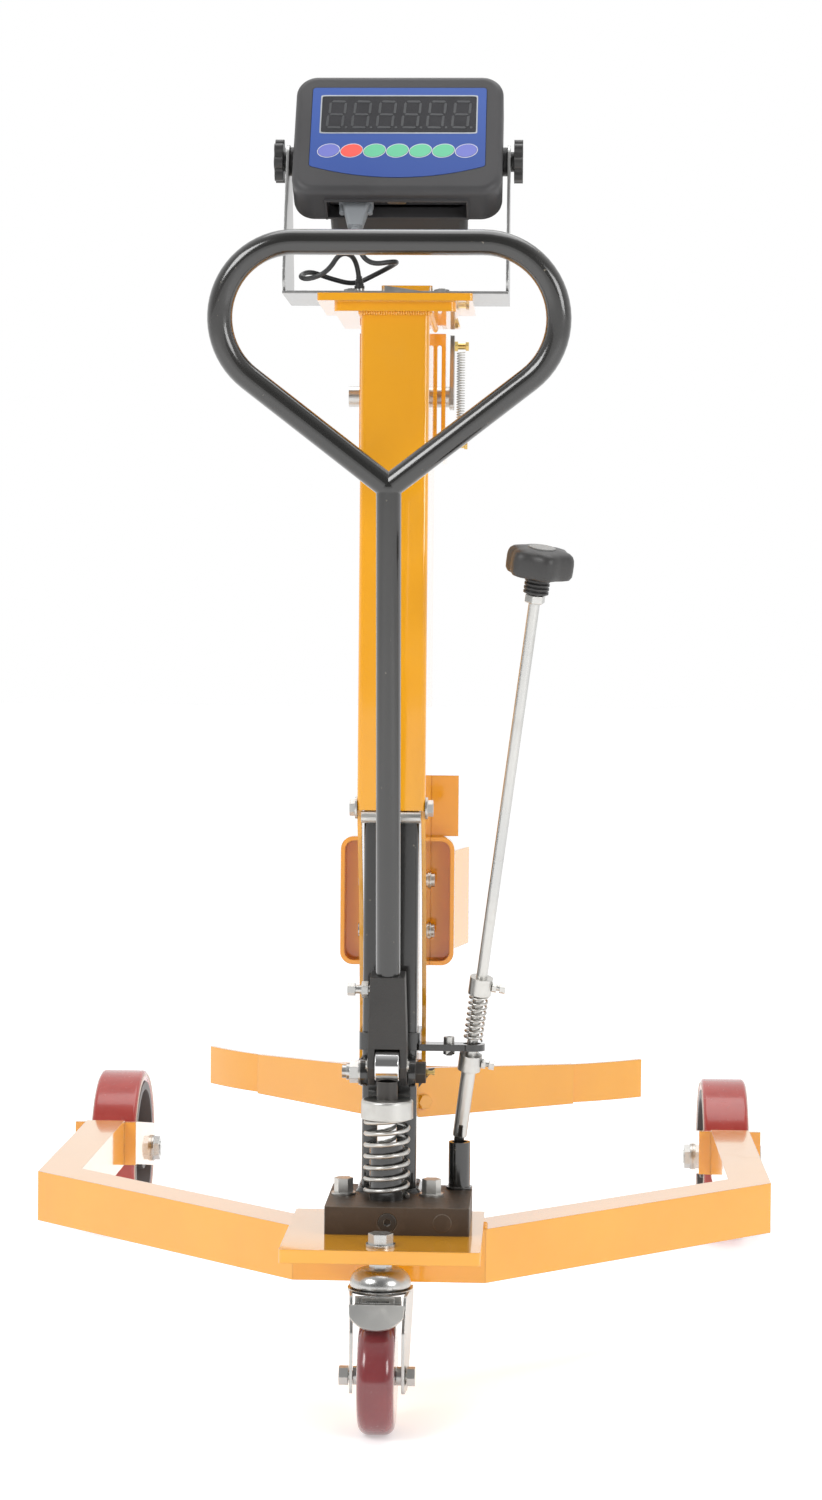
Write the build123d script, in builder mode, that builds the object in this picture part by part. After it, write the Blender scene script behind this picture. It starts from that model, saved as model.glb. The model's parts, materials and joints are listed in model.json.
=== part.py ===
from build123d import *
import os
from math import atan2, cos, degrees, hypot, pi, radians, sin, sqrt, tan

os.makedirs("parts", exist_ok=True)

# Drum lifting scale: a hand-pumped mast on splayed legs, with a weighing indicator on top.
# Millimetres. X is to the operator's right, +Y points away from the operator, Z is up.
# The origin is on the floor, under the centre of the overall box.

# ---------------------------------------------------------------- driving dimensions
wheelbase = 878.0            # caster swivel axis to front axle
caster_trail = 32.0
caster_wheel_r = 50.0
caster_wheel_w = 32.0
front_wheel_r = 90.0
front_wheel_w = 50.0
front_wheel_x = 349.0        # centre plane of each front wheel
running = 0.05               # radial clearance of a running fit
gap = 0.4                    # clearance between pieces that move past each other

rear_reach = caster_trail + caster_wheel_r
overall_length = rear_reach + wheelbase + front_wheel_r
caster_y = rear_reach - overall_length / 2
front_axle_y = caster_y + wheelbase

frame_bottom = 94.0
tube_h = 50.0
tube_w = 42.0
tube_wall = 4.0
frame_top = frame_bottom + tube_h
plate_t = 12.0
plate_top = frame_top + plate_t
plate_half_w = 87.5
plate_rear_y = caster_y - 22.0
plate_front_y = caster_y + 169.0
cross_y = caster_y + 146.0       # operator's face of the cross tube
leg_root_x = 89.0                # outer corner where each leg leaves the cross tube
knee_x = 370.0
knee_y = caster_y + 409.0
tube_end_y = caster_y + 737.0

fork_plate = 7.0
fork_gap = 54.0
fork_nose = 27.0                 # arm past the axle centre
axle_bolt_r = 8.0

block_x0, block_x1 = -53.0, 76.0
block_y0, block_y1 = caster_y + 48.0, caster_y + 163.0
block_h = 25.0
block_top = plate_top + block_h
pump_y = caster_y + 92.0
pump_barrel_r = 15.5
pump_barrel_h = 50.0
piston_r = 9.0
spring_wire_r = 2.1
spring_r = 19.0
spring_turns = 8
cap_r = 23.5
cap_h = 17.0
cap_top = 271.0

mast_w = 50.0                    # inner mast, square tube
mast_wall = 4.0
mast_front_y = caster_y + 125.0
mast_mid_y = mast_front_y + mast_w / 2
mast_top = 940.0
cylinder_r = 19.0
cylinder_bore_r = 13.0
ram_r = cylinder_bore_r - 0.5

lift_w = 62.0                    # lifting mast, folded channel open to the drum
lift_depth = 150.0
lift_wall = 4.0
lift_front_y = caster_y + 115.0
lift_rear_y = lift_front_y + lift_depth
lift_top = 980.0
lift_web_bottom = 530.0
lift_bottom = 284.0

handle_pivot_y = caster_y + 110.0
handle_pivot_z = 293.0
handle_lean = 8.0                # degrees toward the operator
handle_tube_r = 11.0
handle_tube_wall = 2.0
roller_r = 14.5
roller_w = 21.6
roller_back = 20.0               # roller axis, toward the operator from the pivot
roller_up = 9.0
socket_w = 35.0
socket_d = 30.0
socket_top = 385.0
handle_fork_z = 819.0            # where the shaft meets the loop, measured along the height
handle_bar_z = 1028.0
loop_half_w = 147.0

valve_x, valve_y = 64.0, caster_y + 150.0
valve_r = 10.0
valve_h = 43.0
rod_foot = Vector(valve_x, valve_y, block_top + valve_h + 6.0)
rod_head = Vector(133.0, caster_y + 38.0, 755.0)
knob_r = 30.5
knob_h = 25.0

cradle_pivot_y = lift_rear_y - 25.0
cradle_yaw = -6.5                # swung a little to the operator's right
cradle_z = 232.0
cradle_h = 37.5
brace_h = 46.0
cradle_half_w = 216.0
drum_r = 295.0
belt_t = 5.0

grip_z = 919.0                   # beak jaw pivot height
bracket_w = 204.0
bracket_t = 2.5
bracket_d = 100.0
tilt_z = 1122.0
tilt_y = caster_y + 163.0
tilt_back = 30.0                 # indicator face leaned back from upright
housing_w = 190.0
housing_h = 135.0
housing_rise = 9.5             # housing centre above the tilt axis, along the face
front_face = 30.0               # face plane in front of the tilt axis
front_back = -8.0
rear_back = -46.0
key_count = 7
key_travel = 0.4


# ---------------------------------------------------------------- shared shapes
def add_hex(plane, across_flats, height, mode=Mode.ADD):
    with BuildSketch(plane) as hexagon:
        RegularPolygon(radius=across_flats / 2, side_count=6, major_radius=False)
    extrude(hexagon.sketch, amount=height, mode=mode)


def add_disc(plane, radius, height, hole=0.0, mode=Mode.ADD):
    with BuildSketch(plane) as disc:
        Circle(radius)
        if hole:
            Circle(hole, mode=Mode.SUBTRACT)
    extrude(disc.sketch, amount=height, mode=mode)


def add_bolt(plane, shank_r, shank, across_flats, head, washer_r=0.0, washer_t=0.0):
    """A washer and hex head standing on the plane, with the shank going back through it."""
    add_disc(plane, shank_r, -shank)
    if washer_r:
        add_disc(plane, washer_r, washer_t)
    add_hex(plane.offset(washer_t), across_flats, head)


def prism(plane, points, amount, both=False, mode=Mode.ADD):
    with BuildSketch(plane) as outline:
        Polygon(*points, align=None)
    extrude(outline.sketch, amount=amount, both=both, mode=mode)


def inset_corner(before, corner, after, distance):
    """The corner of a path, moved to its left by a distance and mitred."""
    first = (corner - before).normalized()
    second = (after - corner).normalized()
    first_left = Vector(-first.Y, first.X)
    second_left = Vector(-second.Y, second.X)
    return corner + (first_left + second_left) * (distance / (1 + first_left.dot(second_left)))


def save_group(name, *pieces):
    """One node made of several separate solids."""
    group = Compound(label=name, children=[piece.part for piece in pieces])
    export_step(group, f"parts/{name}.step")


side_names = {-1: "left", 1: "right"}

# ---------------------------------------------------------------- chassis
caster_bolt_r = 6.0
pump_bolt_x = 40.0
pump_bolt_y = caster_y + 125.0 - 14.0
pump_bolt_r = 5.0

with BuildPart() as base_plate:
    with BuildSketch(Plane.XY.offset(frame_top)):
        with Locations((0, (plate_rear_y + plate_front_y) / 2)):
            RectangleRounded(2 * plate_half_w, plate_front_y - plate_rear_y, 3)
        with Locations((0, caster_y)):
            Circle(caster_bolt_r, mode=Mode.SUBTRACT)
        with Locations((-pump_bolt_x, pump_bolt_y), (pump_bolt_x, pump_bolt_y)):
            Circle(pump_bolt_r, mode=Mode.SUBTRACT)
    extrude(amount=plate_t)

leg_path = [
    Vector(0, cross_y),
    Vector(leg_root_x, cross_y),
    Vector(knee_x, knee_y),
    Vector(knee_x, tube_end_y),
]


def leg_corners(distance):
    """Root, knee and end of the leg's line, a distance inside its outer face."""
    root = inset_corner(*leg_path[:3], distance)
    knee = inset_corner(*leg_path[1:], distance)
    return [root, knee, leg_path[3] + Vector(-distance, 0)]


def flat_points(vectors, side=1):
    return [(side * point.X, point.Y) for point in vectors]


with BuildPart() as cross_tube:
    root_out, root_in = leg_corners(0)[0], leg_corners(tube_w)[0]
    wall_out, wall_in = leg_corners(tube_wall)[0], leg_corners(tube_w - tube_wall)[0]
    outer = [root_out, root_in]
    inner = [wall_out, wall_in]
    prism(
        Plane.XY.offset(frame_bottom),
        flat_points(outer) + flat_points(outer[::-1], -1),
        tube_h,
    )
    prism(
        Plane.XY.offset(frame_bottom + tube_wall),
        flat_points(inner) + flat_points(inner[::-1], -1),
        tube_h - 2 * tube_wall,
        mode=Mode.SUBTRACT,
    )
save_group("rear_frame", base_plate, cross_tube)

leg_tubes = {}
for side in side_names:
    with BuildPart() as leg:
        outer = leg_corners(0) + leg_corners(tube_w)[::-1]
        inner = leg_corners(tube_wall) + leg_corners(tube_w - tube_wall)[::-1]
        prism(Plane.XY.offset(frame_bottom), flat_points(outer, side), tube_h)
        prism(
            Plane.XY.offset(frame_bottom + tube_wall),
            flat_points(inner, side),
            tube_h - 2 * tube_wall,
            mode=Mode.SUBTRACT,
        )
    leg_tubes[side] = leg

# Each fork is a back plate welded to the tube's end and two arms that dip to the axle.
arm_half = 25.0
arm_end_y = front_axle_y + fork_nose
back_y = tube_end_y + fork_plate
arm_outline = [
    (tube_end_y, frame_bottom),
    (tube_end_y, frame_top - 2),
    (back_y, frame_top - 2),
    (arm_end_y, front_wheel_r + arm_half),
    (arm_end_y, front_wheel_r - arm_half),
    (back_y, frame_bottom),
]
arm_inner_x = front_wheel_x - fork_gap / 2 - fork_plate
arm_outer_x = front_wheel_x + fork_gap / 2
for side, name in side_names.items():
    with BuildPart() as fork:
        for x in (arm_inner_x, arm_outer_x):
            with BuildSketch(Plane.YZ.offset(x)):
                Polygon(*arm_outline, align=None)
                nose = vertices().filter_by_position(Axis.X, arm_end_y - 1, arm_end_y + 1)
                fillet(nose, arm_half * 0.6)
                with Locations((front_axle_y, front_wheel_r)):
                    Circle(axle_bolt_r, mode=Mode.SUBTRACT)
            extrude(amount=fork_plate)
        with BuildSketch(Plane.XY.offset(frame_bottom)):
            with Locations((front_wheel_x, (tube_end_y + back_y) / 2)):
                Rectangle(fork_gap + 2 * fork_plate, fork_plate)
        extrude(amount=tube_h - 2)
        if side < 0:
            mirror(about=Plane.YZ, mode=Mode.REPLACE)
    save_group(f"{name}_leg", leg_tubes[side], fork)

axle_washer_t = 3.0
axle_nut_h = 6.5
with BuildPart() as front_axle_bolts:
    for side in side_names:
        outer_face = Plane(
            origin=(side * (arm_outer_x + fork_plate), front_axle_y, front_wheel_r),
            z_dir=(side, 0, 0),
        )
        through = fork_gap + 2 * fork_plate
        add_bolt(outer_face, axle_bolt_r, through + axle_washer_t + axle_nut_h + 1, 24, 8, 15,
                 axle_washer_t)
        inner_face = Plane(
            origin=(side * arm_inner_x, front_axle_y, front_wheel_r), z_dir=(-side, 0, 0)
        )
        add_disc(inner_face, 15, axle_washer_t)
        add_hex(inner_face.offset(axle_washer_t), 24, axle_nut_h)

# Load wheels: a polyurethane tread on a dark core with a recessed web.
tread_t = 13.0
core_r = front_wheel_r - tread_t
hub_r = 24.0
web_half = 8.0
rim_t = 9.0
for side, name in side_names.items():
    wheel_plane = Plane(origin=(side * front_wheel_x, front_axle_y, front_wheel_r),
                        x_dir=(0, 0, 1), z_dir=(0, 1, 0))
    half = front_wheel_w / 2
    with BuildPart() as core:
        with BuildSketch(wheel_plane):
            with BuildLine():
                Polyline(
                    (axle_bolt_r + running, -half), (hub_r, -half), (hub_r + 3, -web_half),
                    (core_r - rim_t - 3, -web_half), (core_r - rim_t, -half), (core_r, -half),
                    (core_r, half), (core_r - rim_t, half), (core_r - rim_t - 3, web_half),
                    (hub_r + 3, web_half), (hub_r, half), (axle_bolt_r + running, half),
                    close=True,
                )
            make_face()
        revolve(axis=Axis(wheel_plane.origin, (1, 0, 0)))
    core.part.label = f"{name}_wheel_core"
    export_step(core.part, f"parts/{name}_wheel_core.step")
    with BuildPart() as tread:
        with BuildSketch(wheel_plane):
            with Locations(((core_r + front_wheel_r) / 2, 0)):
                Rectangle(tread_t, front_wheel_w)
            fillet(vertices().group_by(Axis.Z)[-1], 4)
        revolve(axis=Axis(wheel_plane.origin, (1, 0, 0)))
    tread.part.label = f"{name}_wheel_tread"
    export_step(tread.part, f"parts/{name}_wheel_tread.step")

# ---------------------------------------------------------------- pump block and mast
plug_z = plate_top + block_h / 2 - 1
plug_x = 3.0
blank_x = 52.0
plug_r = 8.0
side_plug_y = block_y0 + 60.0
front_plug = Plane(origin=(plug_x, block_y0, plug_z), z_dir=(0, -1, 0))
blank_plug = Plane(origin=(blank_x, block_y0, plug_z), z_dir=(0, -1, 0))
side_plug = Plane(origin=(block_x1, side_plug_y, plug_z), z_dir=(1, 0, 0))

with BuildPart() as pump_block:
    with BuildSketch(Plane.XY.offset(plate_top)):
        with Locations(((block_x0 + block_x1) / 2, (block_y0 + block_y1) / 2)):
            Rectangle(block_x1 - block_x0, block_y1 - block_y0)
        with Locations((-pump_bolt_x, pump_bolt_y), (pump_bolt_x, pump_bolt_y)):
            Circle(pump_bolt_r, mode=Mode.SUBTRACT)
    extrude(amount=block_h)
    fillet(edges().filter_by(Axis.Z).group_by(SortBy.LENGTH)[-1], 1.5)
    for plane in (front_plug, side_plug):
        add_disc(plane, plug_r + 0.6, -3, mode=Mode.SUBTRACT)
    add_disc(blank_plug, plug_r, 0.4)
pump_block.part.label = "pump_block"
export_step(pump_block.part, "parts/pump_block.step")

with BuildPart() as port_plugs:
    for plane in (front_plug, side_plug):
        add_disc(plane.offset(-3), plug_r, 3)
        add_hex(plane, 6, -2.4, mode=Mode.SUBTRACT)

with BuildPart() as pump_bolts:
    for x in (-pump_bolt_x, pump_bolt_x):
        add_bolt(
            Plane((x, pump_bolt_y, block_top)), pump_bolt_r, block_h + plate_t, 15, 13, 11, 2
        )

with BuildPart() as pump_barrel:
    add_disc(Plane((0, pump_y, block_top)), pump_barrel_r, pump_barrel_h, piston_r + running)

with BuildPart() as valve_body:
    add_disc(Plane((valve_x, valve_y, block_top)), valve_r, valve_h)
    add_disc(Plane((valve_x, valve_y, block_top)), valve_r + 2, 2)
    add_disc(Plane((valve_x, valve_y, block_top + valve_h)), 7, -12, mode=Mode.SUBTRACT)
save_group("pump_tubes", pump_barrel, valve_body)

with BuildPart() as inner_mast:
    with BuildSketch(Plane.XY.offset(block_top)):
        with Locations((0, mast_mid_y)):
            RectangleRounded(mast_w, mast_w, 6)
            RectangleRounded(mast_w - 2 * mast_wall, mast_w - 2 * mast_wall, 3,
                             mode=Mode.SUBTRACT)
    extrude(amount=mast_top - block_top)
    # weld fillet round the foot
    with BuildSketch(Plane.XY.offset(block_top)):
        with Locations((0, mast_mid_y)):
            RectangleRounded(mast_w + 10, mast_w + 10, 9)
            RectangleRounded(mast_w - 0.5, mast_w - 0.5, 6, mode=Mode.SUBTRACT)
    extrude(amount=5, taper=40)

with BuildPart() as lift_cylinder:
    add_disc(Plane((0, mast_mid_y, block_top)), cylinder_r, mast_top - block_top - 10)
    add_disc(Plane((0, mast_mid_y, block_top + 15)), cylinder_bore_r, mast_top, mode=Mode.SUBTRACT)
lift_cylinder.part.label = "lift_cylinder"
export_step(lift_cylinder.part, "parts/lift_cylinder.step")

# Two lugs on the mast's face carry the handle's pivot bolt.
lug_inner_x = socket_w / 2 + 1.0
lug_t = 6.5
lug_r = 13.0
pivot_r = 6.0
pivot_plane = Plane(origin=(0, handle_pivot_y, handle_pivot_z), x_dir=(0, 1, 0), z_dir=(1, 0, 0))
with BuildPart() as pivot_lugs:
    for x in (lug_inner_x, -lug_inner_x - lug_t):
        with BuildSketch(pivot_plane.offset(x)):
            Circle(lug_r)
            with Locations(((mast_front_y - handle_pivot_y) / 2, 0)):
                Rectangle(mast_front_y - handle_pivot_y, 2 * lug_r)
            Circle(pivot_r, mode=Mode.SUBTRACT)
        extrude(amount=lug_t)
save_group("inner_mast", inner_mast, pivot_lugs)

lug_outer_x = lug_inner_x + lug_t
with BuildPart() as handle_pivot_bolt:
    right = pivot_plane.offset(lug_outer_x)
    add_bolt(right, pivot_r, 2 * lug_outer_x + 17, 18, 9)
    left = Plane(origin=(-lug_outer_x, handle_pivot_y, handle_pivot_z), z_dir=(-1, 0, 0))
    add_disc(left, 12, 2)
    add_hex(left.offset(2), 18, 8)
    add_disc(left.offset(10), 7.5, 3)
save_group("axle_bolts", front_axle_bolts, handle_pivot_bolt)

with BuildPart() as grease_nipple:
    nipple = pivot_plane.offset(lug_outer_x + 9)
    add_hex(nipple, 6, 2)
    add_disc(nipple.offset(2), 1.8, 4)
    add_disc(nipple.offset(6), 2.4, 2)

# ---------------------------------------------------------------- release rod
rod_vector = rod_head - rod_foot
rod_length = rod_vector.length
rod_plane = Plane(origin=rod_foot, x_dir=Vector(0, 1, 0).cross(rod_vector), z_dir=rod_vector)
rod_r = 5.0
sleeve_r = 6.5
collar_r = 10.5
lower_collar = (64.5, 79.5)
upper_collar = (138.0, 154.0)
arm_z = 311.0
arm_t = 6.0
arm_w = 20.0
band_t = 3.0
band_h = 16.0


def rod_point(z):
    return rod_foot + rod_vector * ((z - rod_foot.Z) / rod_vector.Z)


arm_end = rod_point(arm_z + arm_t / 2)
with BuildPart() as release_arm:
    with BuildSketch(Plane.XY.offset(arm_z)):
        with Locations((0, mast_mid_y)):
            RectangleRounded(mast_w + 2 * band_t, mast_w + 2 * band_t, 7)
            RectangleRounded(mast_w, mast_w, 6, mode=Mode.SUBTRACT)
    extrude(amount=band_h)
    with BuildSketch(Plane.XY.offset(arm_z)):
        arm_root = mast_w / 2 + band_t - 1
        with Locations(((arm_root + arm_end.X) / 2, arm_end.Y)):
            Rectangle(arm_end.X - arm_root, arm_w)
        with Locations((arm_end.X, arm_end.Y)):
            Circle(arm_w / 2 + 2)
            Circle(8, mode=Mode.SUBTRACT)
        with Locations((arm_end.X - 21, arm_end.Y)):
            Circle(3, mode=Mode.SUBTRACT)
    extrude(amount=arm_t)
release_arm.part.label = "release_arm"
export_step(release_arm.part, "parts/release_arm.step")

with BuildPart() as arm_screw:
    screw_top = Plane((arm_end.X - 21, arm_end.Y, arm_z + arm_t))
    add_disc(screw_top, 3, -arm_t - 5)
    add_disc(screw_top, 5, 6)
    add_hex(screw_top.offset(6), 5, -3, mode=Mode.SUBTRACT)
    add_hex(screw_top.offset(-arm_t), 9, -4)
save_group("chassis_fasteners", pump_bolts, port_plugs, arm_screw, grease_nipple)

with BuildPart() as release_rod:
    add_disc(rod_plane, rod_r, rod_length - 28)
    add_disc(rod_plane, sleeve_r, lower_collar[0] + 1)
    add_disc(rod_plane.offset(lower_collar[0]), collar_r, lower_collar[1] - lower_collar[0])
    add_disc(rod_plane.offset(upper_collar[0]), collar_r, upper_collar[1] - upper_collar[0])
    # slot across the foot, for the spindle's tongue
    with BuildSketch(rod_plane):
        Rectangle(4.2, 4 * sleeve_r)
    extrude(amount=12, mode=Mode.SUBTRACT)
    for low, high in (lower_collar, upper_collar):
        middle = rod_plane.offset((low + high) / 2)
        across = Plane(origin=middle.origin, x_dir=middle.z_dir, z_dir=middle.x_dir)
        with Locations(across.offset(collar_r)):
            Hole(2.5, depth=collar_r - rod_r)

with BuildPart() as collar_screws:
    for low, high in (lower_collar, upper_collar):
        middle = rod_plane.offset((low + high) / 2)
        across = Plane(origin=middle.origin, x_dir=middle.z_dir, z_dir=middle.x_dir)
        add_disc(across.offset(rod_r), 2.5, collar_r + 4 - rod_r)
        add_hex(across.offset(collar_r + 0.1), 8, 4)
        add_hex(across.offset(collar_r + 7), 8, 5)
        add_disc(across.offset(collar_r + 3), 2.5, 5)

with BuildPart() as valve_spindle:
    add_disc(rod_plane.offset(-9), 4.75, 8.9)
    with BuildSketch(rod_plane.offset(-0.2)):
        Rectangle(4.0, 9)
    extrude(amount=11)
save_group("release_rod", release_rod, collar_screws, valve_spindle)

release_spring_r = 8.0
release_wire_r = 1.1
release_spring_span = (93.5, upper_collar[0] - release_wire_r - 0.2)
with BuildPart() as release_spring:
    length = release_spring_span[1] - release_spring_span[0]
    with BuildLine() as coil:
        Helix(pitch=length / 8, height=length, radius=release_spring_r,
              center=(0, 0, release_spring_span[0]))
    with BuildSketch(Plane(coil.line @ 0, z_dir=coil.line % 0)) as wire:
        Circle(release_wire_r)
    sweep(wire.sketch, path=coil.line)
release_spring_placed = rod_plane.location * release_spring.part
release_spring_placed.label = "release_spring"
export_step(release_spring_placed, "parts/release_spring.step")

knob_base = rod_length - 14.0
lobe_count = 6
with BuildPart() as star_knob:
    add_hex(rod_plane.offset(knob_base - 24), 17, 8)
    add_disc(rod_plane.offset(knob_base - 16), 11, 16)
    with BuildSketch(rod_plane.offset(knob_base)):
        Circle(knob_r - 6)
        with PolarLocations(knob_r - 9, lobe_count):
            Circle(9)
    extrude(amount=knob_h)
    fillet(faces().sort_by(Axis(rod_foot, rod_vector))[-1].edges(), 4)
    add_disc(rod_plane.offset(knob_base - 26), rod_r, 12, mode=Mode.SUBTRACT)

with BuildPart() as knob_badge:
    add_disc(rod_plane.offset(knob_base + knob_h), 12, 1.5)
save_group("star_knob", star_knob, knob_badge)

# ---------------------------------------------------------------- pump piston and spring
piston_head_top = handle_pivot_z + roller_up - roller_r - gap
piston_foot = block_top + pump_barrel_h - 30
with BuildPart() as pump_piston:
    add_disc(Plane((0, pump_y, piston_foot)), piston_r, cap_top - piston_foot)
    add_disc(Plane((0, pump_y, cap_top)), 9.5, piston_head_top - cap_top)
pump_piston.part.label = "pump_piston"
export_step(pump_piston.part, "parts/pump_piston.step")

with BuildPart() as spring_cap:
    cap_plane = Plane((0, pump_y, cap_top - cap_h))
    add_disc(cap_plane, cap_r, cap_h, piston_r)
    fillet(edges().group_by(Axis.Z)[-1].sort_by(SortBy.RADIUS)[-1], 2.5)
    add_disc(cap_plane, cap_r - 1.5, cap_h - 3, piston_r, mode=Mode.SUBTRACT)
spring_cap.part.label = "spring_cap"
export_step(spring_cap.part, "parts/spring_cap.step")

spring_base = block_top + spring_wire_r + 0.2
spring_end = cap_top - 3 - spring_wire_r - 0.2
with BuildPart() as pump_spring:
    with BuildLine() as coil:
        Helix(pitch=(spring_end - spring_base) / spring_turns, height=spring_end - spring_base,
              radius=spring_r, center=(0, pump_y, spring_base))
    with BuildSketch(Plane(coil.line @ 0, z_dir=coil.line % 0)) as wire:
        Circle(spring_wire_r)
    sweep(wire.sketch, path=coil.line)
pump_spring.part.label = "pump_spring"
export_step(pump_spring.part, "parts/pump_spring.step")

# ---------------------------------------------------------------- handle
lean = radians(handle_lean)
handle_axis = Vector(0, -sin(lean), cos(lean))
handle_plane = Plane(origin=(0, handle_pivot_y, handle_pivot_z), x_dir=(1, 0, 0),
                     z_dir=handle_axis)
handle_side = Plane(origin=handle_plane.origin, x_dir=handle_plane.y_dir, z_dir=(1, 0, 0))
roller_axis_y = handle_pivot_y - roller_back
roller_axis_z = handle_pivot_z + roller_up
roller_local = handle_side.to_local_coords(Vector(0, roller_axis_y, roller_axis_z))
roller_plane = Plane(origin=(0, roller_axis_y, roller_axis_z), x_dir=(0, 1, 0), z_dir=(1, 0, 0))
roller_pin_r = 4.0
cheek_gap = roller_w + 1.4
block_low = 27.5
block_high = (socket_top - handle_pivot_z) / cos(lean)
shaft_y = -8.0                     # tube axis, toward the operator from the pivot
shaft_low = block_high - 34
clamp_z = block_high - 14

with BuildPart() as handle_socket:
    with BuildSketch(handle_side) as cheek:
        with BuildLine():
            Polyline(
                (shaft_y - socket_d / 2, block_low), (roller_local.X - 11, roller_local.Y),
                (roller_local.X - 7, roller_local.Y - 10), (-6, -11), (6, -11), (11, -4),
                (11, 8), (shaft_y + socket_d / 2, block_low), close=True,
            )
        make_face()
        Circle(pivot_r + running, mode=Mode.SUBTRACT)
        with Locations((roller_local.X, roller_local.Y)):
            Circle(roller_pin_r, mode=Mode.SUBTRACT)
    extrude(cheek.sketch, amount=socket_w / 2, both=True)
    with BuildSketch(handle_side) as middle_gap:
        with Locations((0, 0)):
            Rectangle(3 * socket_d, 2 * block_low)
    extrude(middle_gap.sketch, amount=cheek_gap / 2, both=True, mode=Mode.SUBTRACT)
    with BuildSketch(handle_plane.offset(block_low)) as low_face:
        with Locations((0, shaft_y)):
            Rectangle(socket_w, socket_d)
    with BuildSketch(handle_plane.offset(block_high)) as high_face:
        with Locations((0, shaft_y)):
            Rectangle(socket_w - 4, socket_d - 3)
    loft([low_face.sketch.faces()[0], high_face.sketch.faces()[0]])
    with BuildSketch(handle_plane.offset(block_low + 7)) as tube_seat:
        with Locations((0, shaft_y)):
            Circle(handle_tube_r)
    extrude(tube_seat.sketch, amount=block_high, mode=Mode.SUBTRACT)
    clamp_plane = Plane(
        origin=handle_plane.from_local_coords(Vector(-socket_w / 2, shaft_y, clamp_z)),
        z_dir=(-1, 0, 0),
    )
    add_disc(clamp_plane, 4, -10, mode=Mode.SUBTRACT)
handle_socket.part.label = "handle_socket"
export_step(handle_socket.part, "parts/handle_socket.step")

with BuildPart() as clamp_screw:
    add_disc(clamp_plane.offset(-5), 4, 17)
    add_hex(clamp_plane.offset(0.2), 13, 6)
    add_hex(clamp_plane.offset(12), 10, 7)

loop_plane = Plane(
    origin=handle_plane.from_local_coords(Vector(0, shaft_y, 0)), x_dir=(1, 0, 0),
    z_dir=-handle_plane.y_dir,
)
fork_h = (handle_fork_z - handle_pivot_z) / cos(lean)
bar_h = (handle_bar_z - handle_pivot_z) / cos(lean)
# the corner radius that puts the loop's sides at their half width
loop_rise = bar_h - fork_h
loop_angle = radians(37.7)
loop_vertex = loop_rise / tan(loop_angle)
loop_corner_r = (loop_vertex - loop_half_w) / (1 / tan(loop_angle / 2) - 1)


def handle_tubes(radius, mode, end_trim):
    shaft_foot = handle_plane.from_local_coords(Vector(0, shaft_y, shaft_low - end_trim))
    add_disc(Plane(shaft_foot, z_dir=handle_axis), radius, fork_h - shaft_low + end_trim, mode=mode)
    for side in side_names:
        with BuildLine(loop_plane) as loop:
            FilletPolyline((0, fork_h), (side * loop_vertex, bar_h), (0, bar_h),
                           radius=loop_corner_r)
        with BuildSketch(Plane(loop.line @ 0, z_dir=loop.line % 0)) as round_tube:
            Circle(radius)
        sweep(round_tube.sketch, path=loop.line, mode=mode)


with BuildPart() as handle_tube:
    handle_tubes(handle_tube_r, Mode.ADD, 0)
    with Locations(handle_plane.from_local_coords(Vector(0, shaft_y, fork_h))):
        Sphere(handle_tube_r + 0.6)
    handle_tubes(handle_tube_r - handle_tube_wall, Mode.SUBTRACT, 3)
handle_tube.part.label = "handle_tube"
export_step(handle_tube.part, "parts/handle_tube.step")

with BuildPart() as drive_roller:
    add_disc(roller_plane.offset(-roller_w / 2), roller_r, roller_w, roller_pin_r + running)
    chamfer(edges().filter_by(GeomType.CIRCLE).sort_by(SortBy.RADIUS)[-2:], 0.8)
drive_roller.part.label = "drive_roller"
export_step(drive_roller.part, "parts/drive_roller.step")

with BuildPart() as roller_pin:
    add_disc(roller_plane.offset(-socket_w / 2 - 2), roller_pin_r, socket_w + 4)
    add_disc(roller_plane.offset(socket_w / 2), 6, 0.8)
    add_disc(roller_plane.offset(-socket_w / 2 - 0.8), 6, 0.8)
save_group("handle_fasteners", clamp_screw, roller_pin)

# ---------------------------------------------------------------- swivel caster
dome_top = 137.0
fork_top = 120.5
fork_t = 2.5
fork_plate_r = 28.5
caster_axle_y = caster_y - caster_trail
caster_axle = Plane(origin=(0, caster_axle_y, caster_wheel_r), x_dir=(0, 1, 0), z_dir=(1, 0, 0))
caster_axle_r = 4.0
leg_inner_rear = 20.8
leg_inner_front = 26.0
leg_rear_y = caster_axle_y - 16.0
leg_front_y = caster_y + 18.0

with BuildPart() as caster_bolt:
    add_bolt(Plane((0, caster_y, plate_top)), caster_bolt_r, plate_top - fork_top + 13, 19, 9, 13, 2.5)
    add_hex(Plane((0, caster_y, dome_top)), 17, frame_top - dome_top)
    add_hex(Plane((0, caster_y, fork_top - fork_t - gap)), 19, -9)

with BuildPart() as caster_dome:
    with BuildSketch(Plane(origin=(0, caster_y, 0), x_dir=(1, 0, 0), z_dir=(0, -1, 0))):
        with BuildLine():
            Line((caster_bolt_r, dome_top), (14, dome_top))
            ThreePointArc((14, dome_top), (23.5, 132.5), (26.5, 122))
            Line((26.5, 122), (24.5, 122))
            ThreePointArc((24.5, 122), (21.8, 130.8), (13.5, dome_top - 2.5))
            Polyline((13.5, dome_top - 2.5), (caster_bolt_r, dome_top - 2.5),
                     (caster_bolt_r, dome_top))
        make_face()
    revolve(axis=Axis((0, caster_y, 0), (0, 0, 1)))
save_group("caster_mount", caster_bolt, caster_dome)

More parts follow.
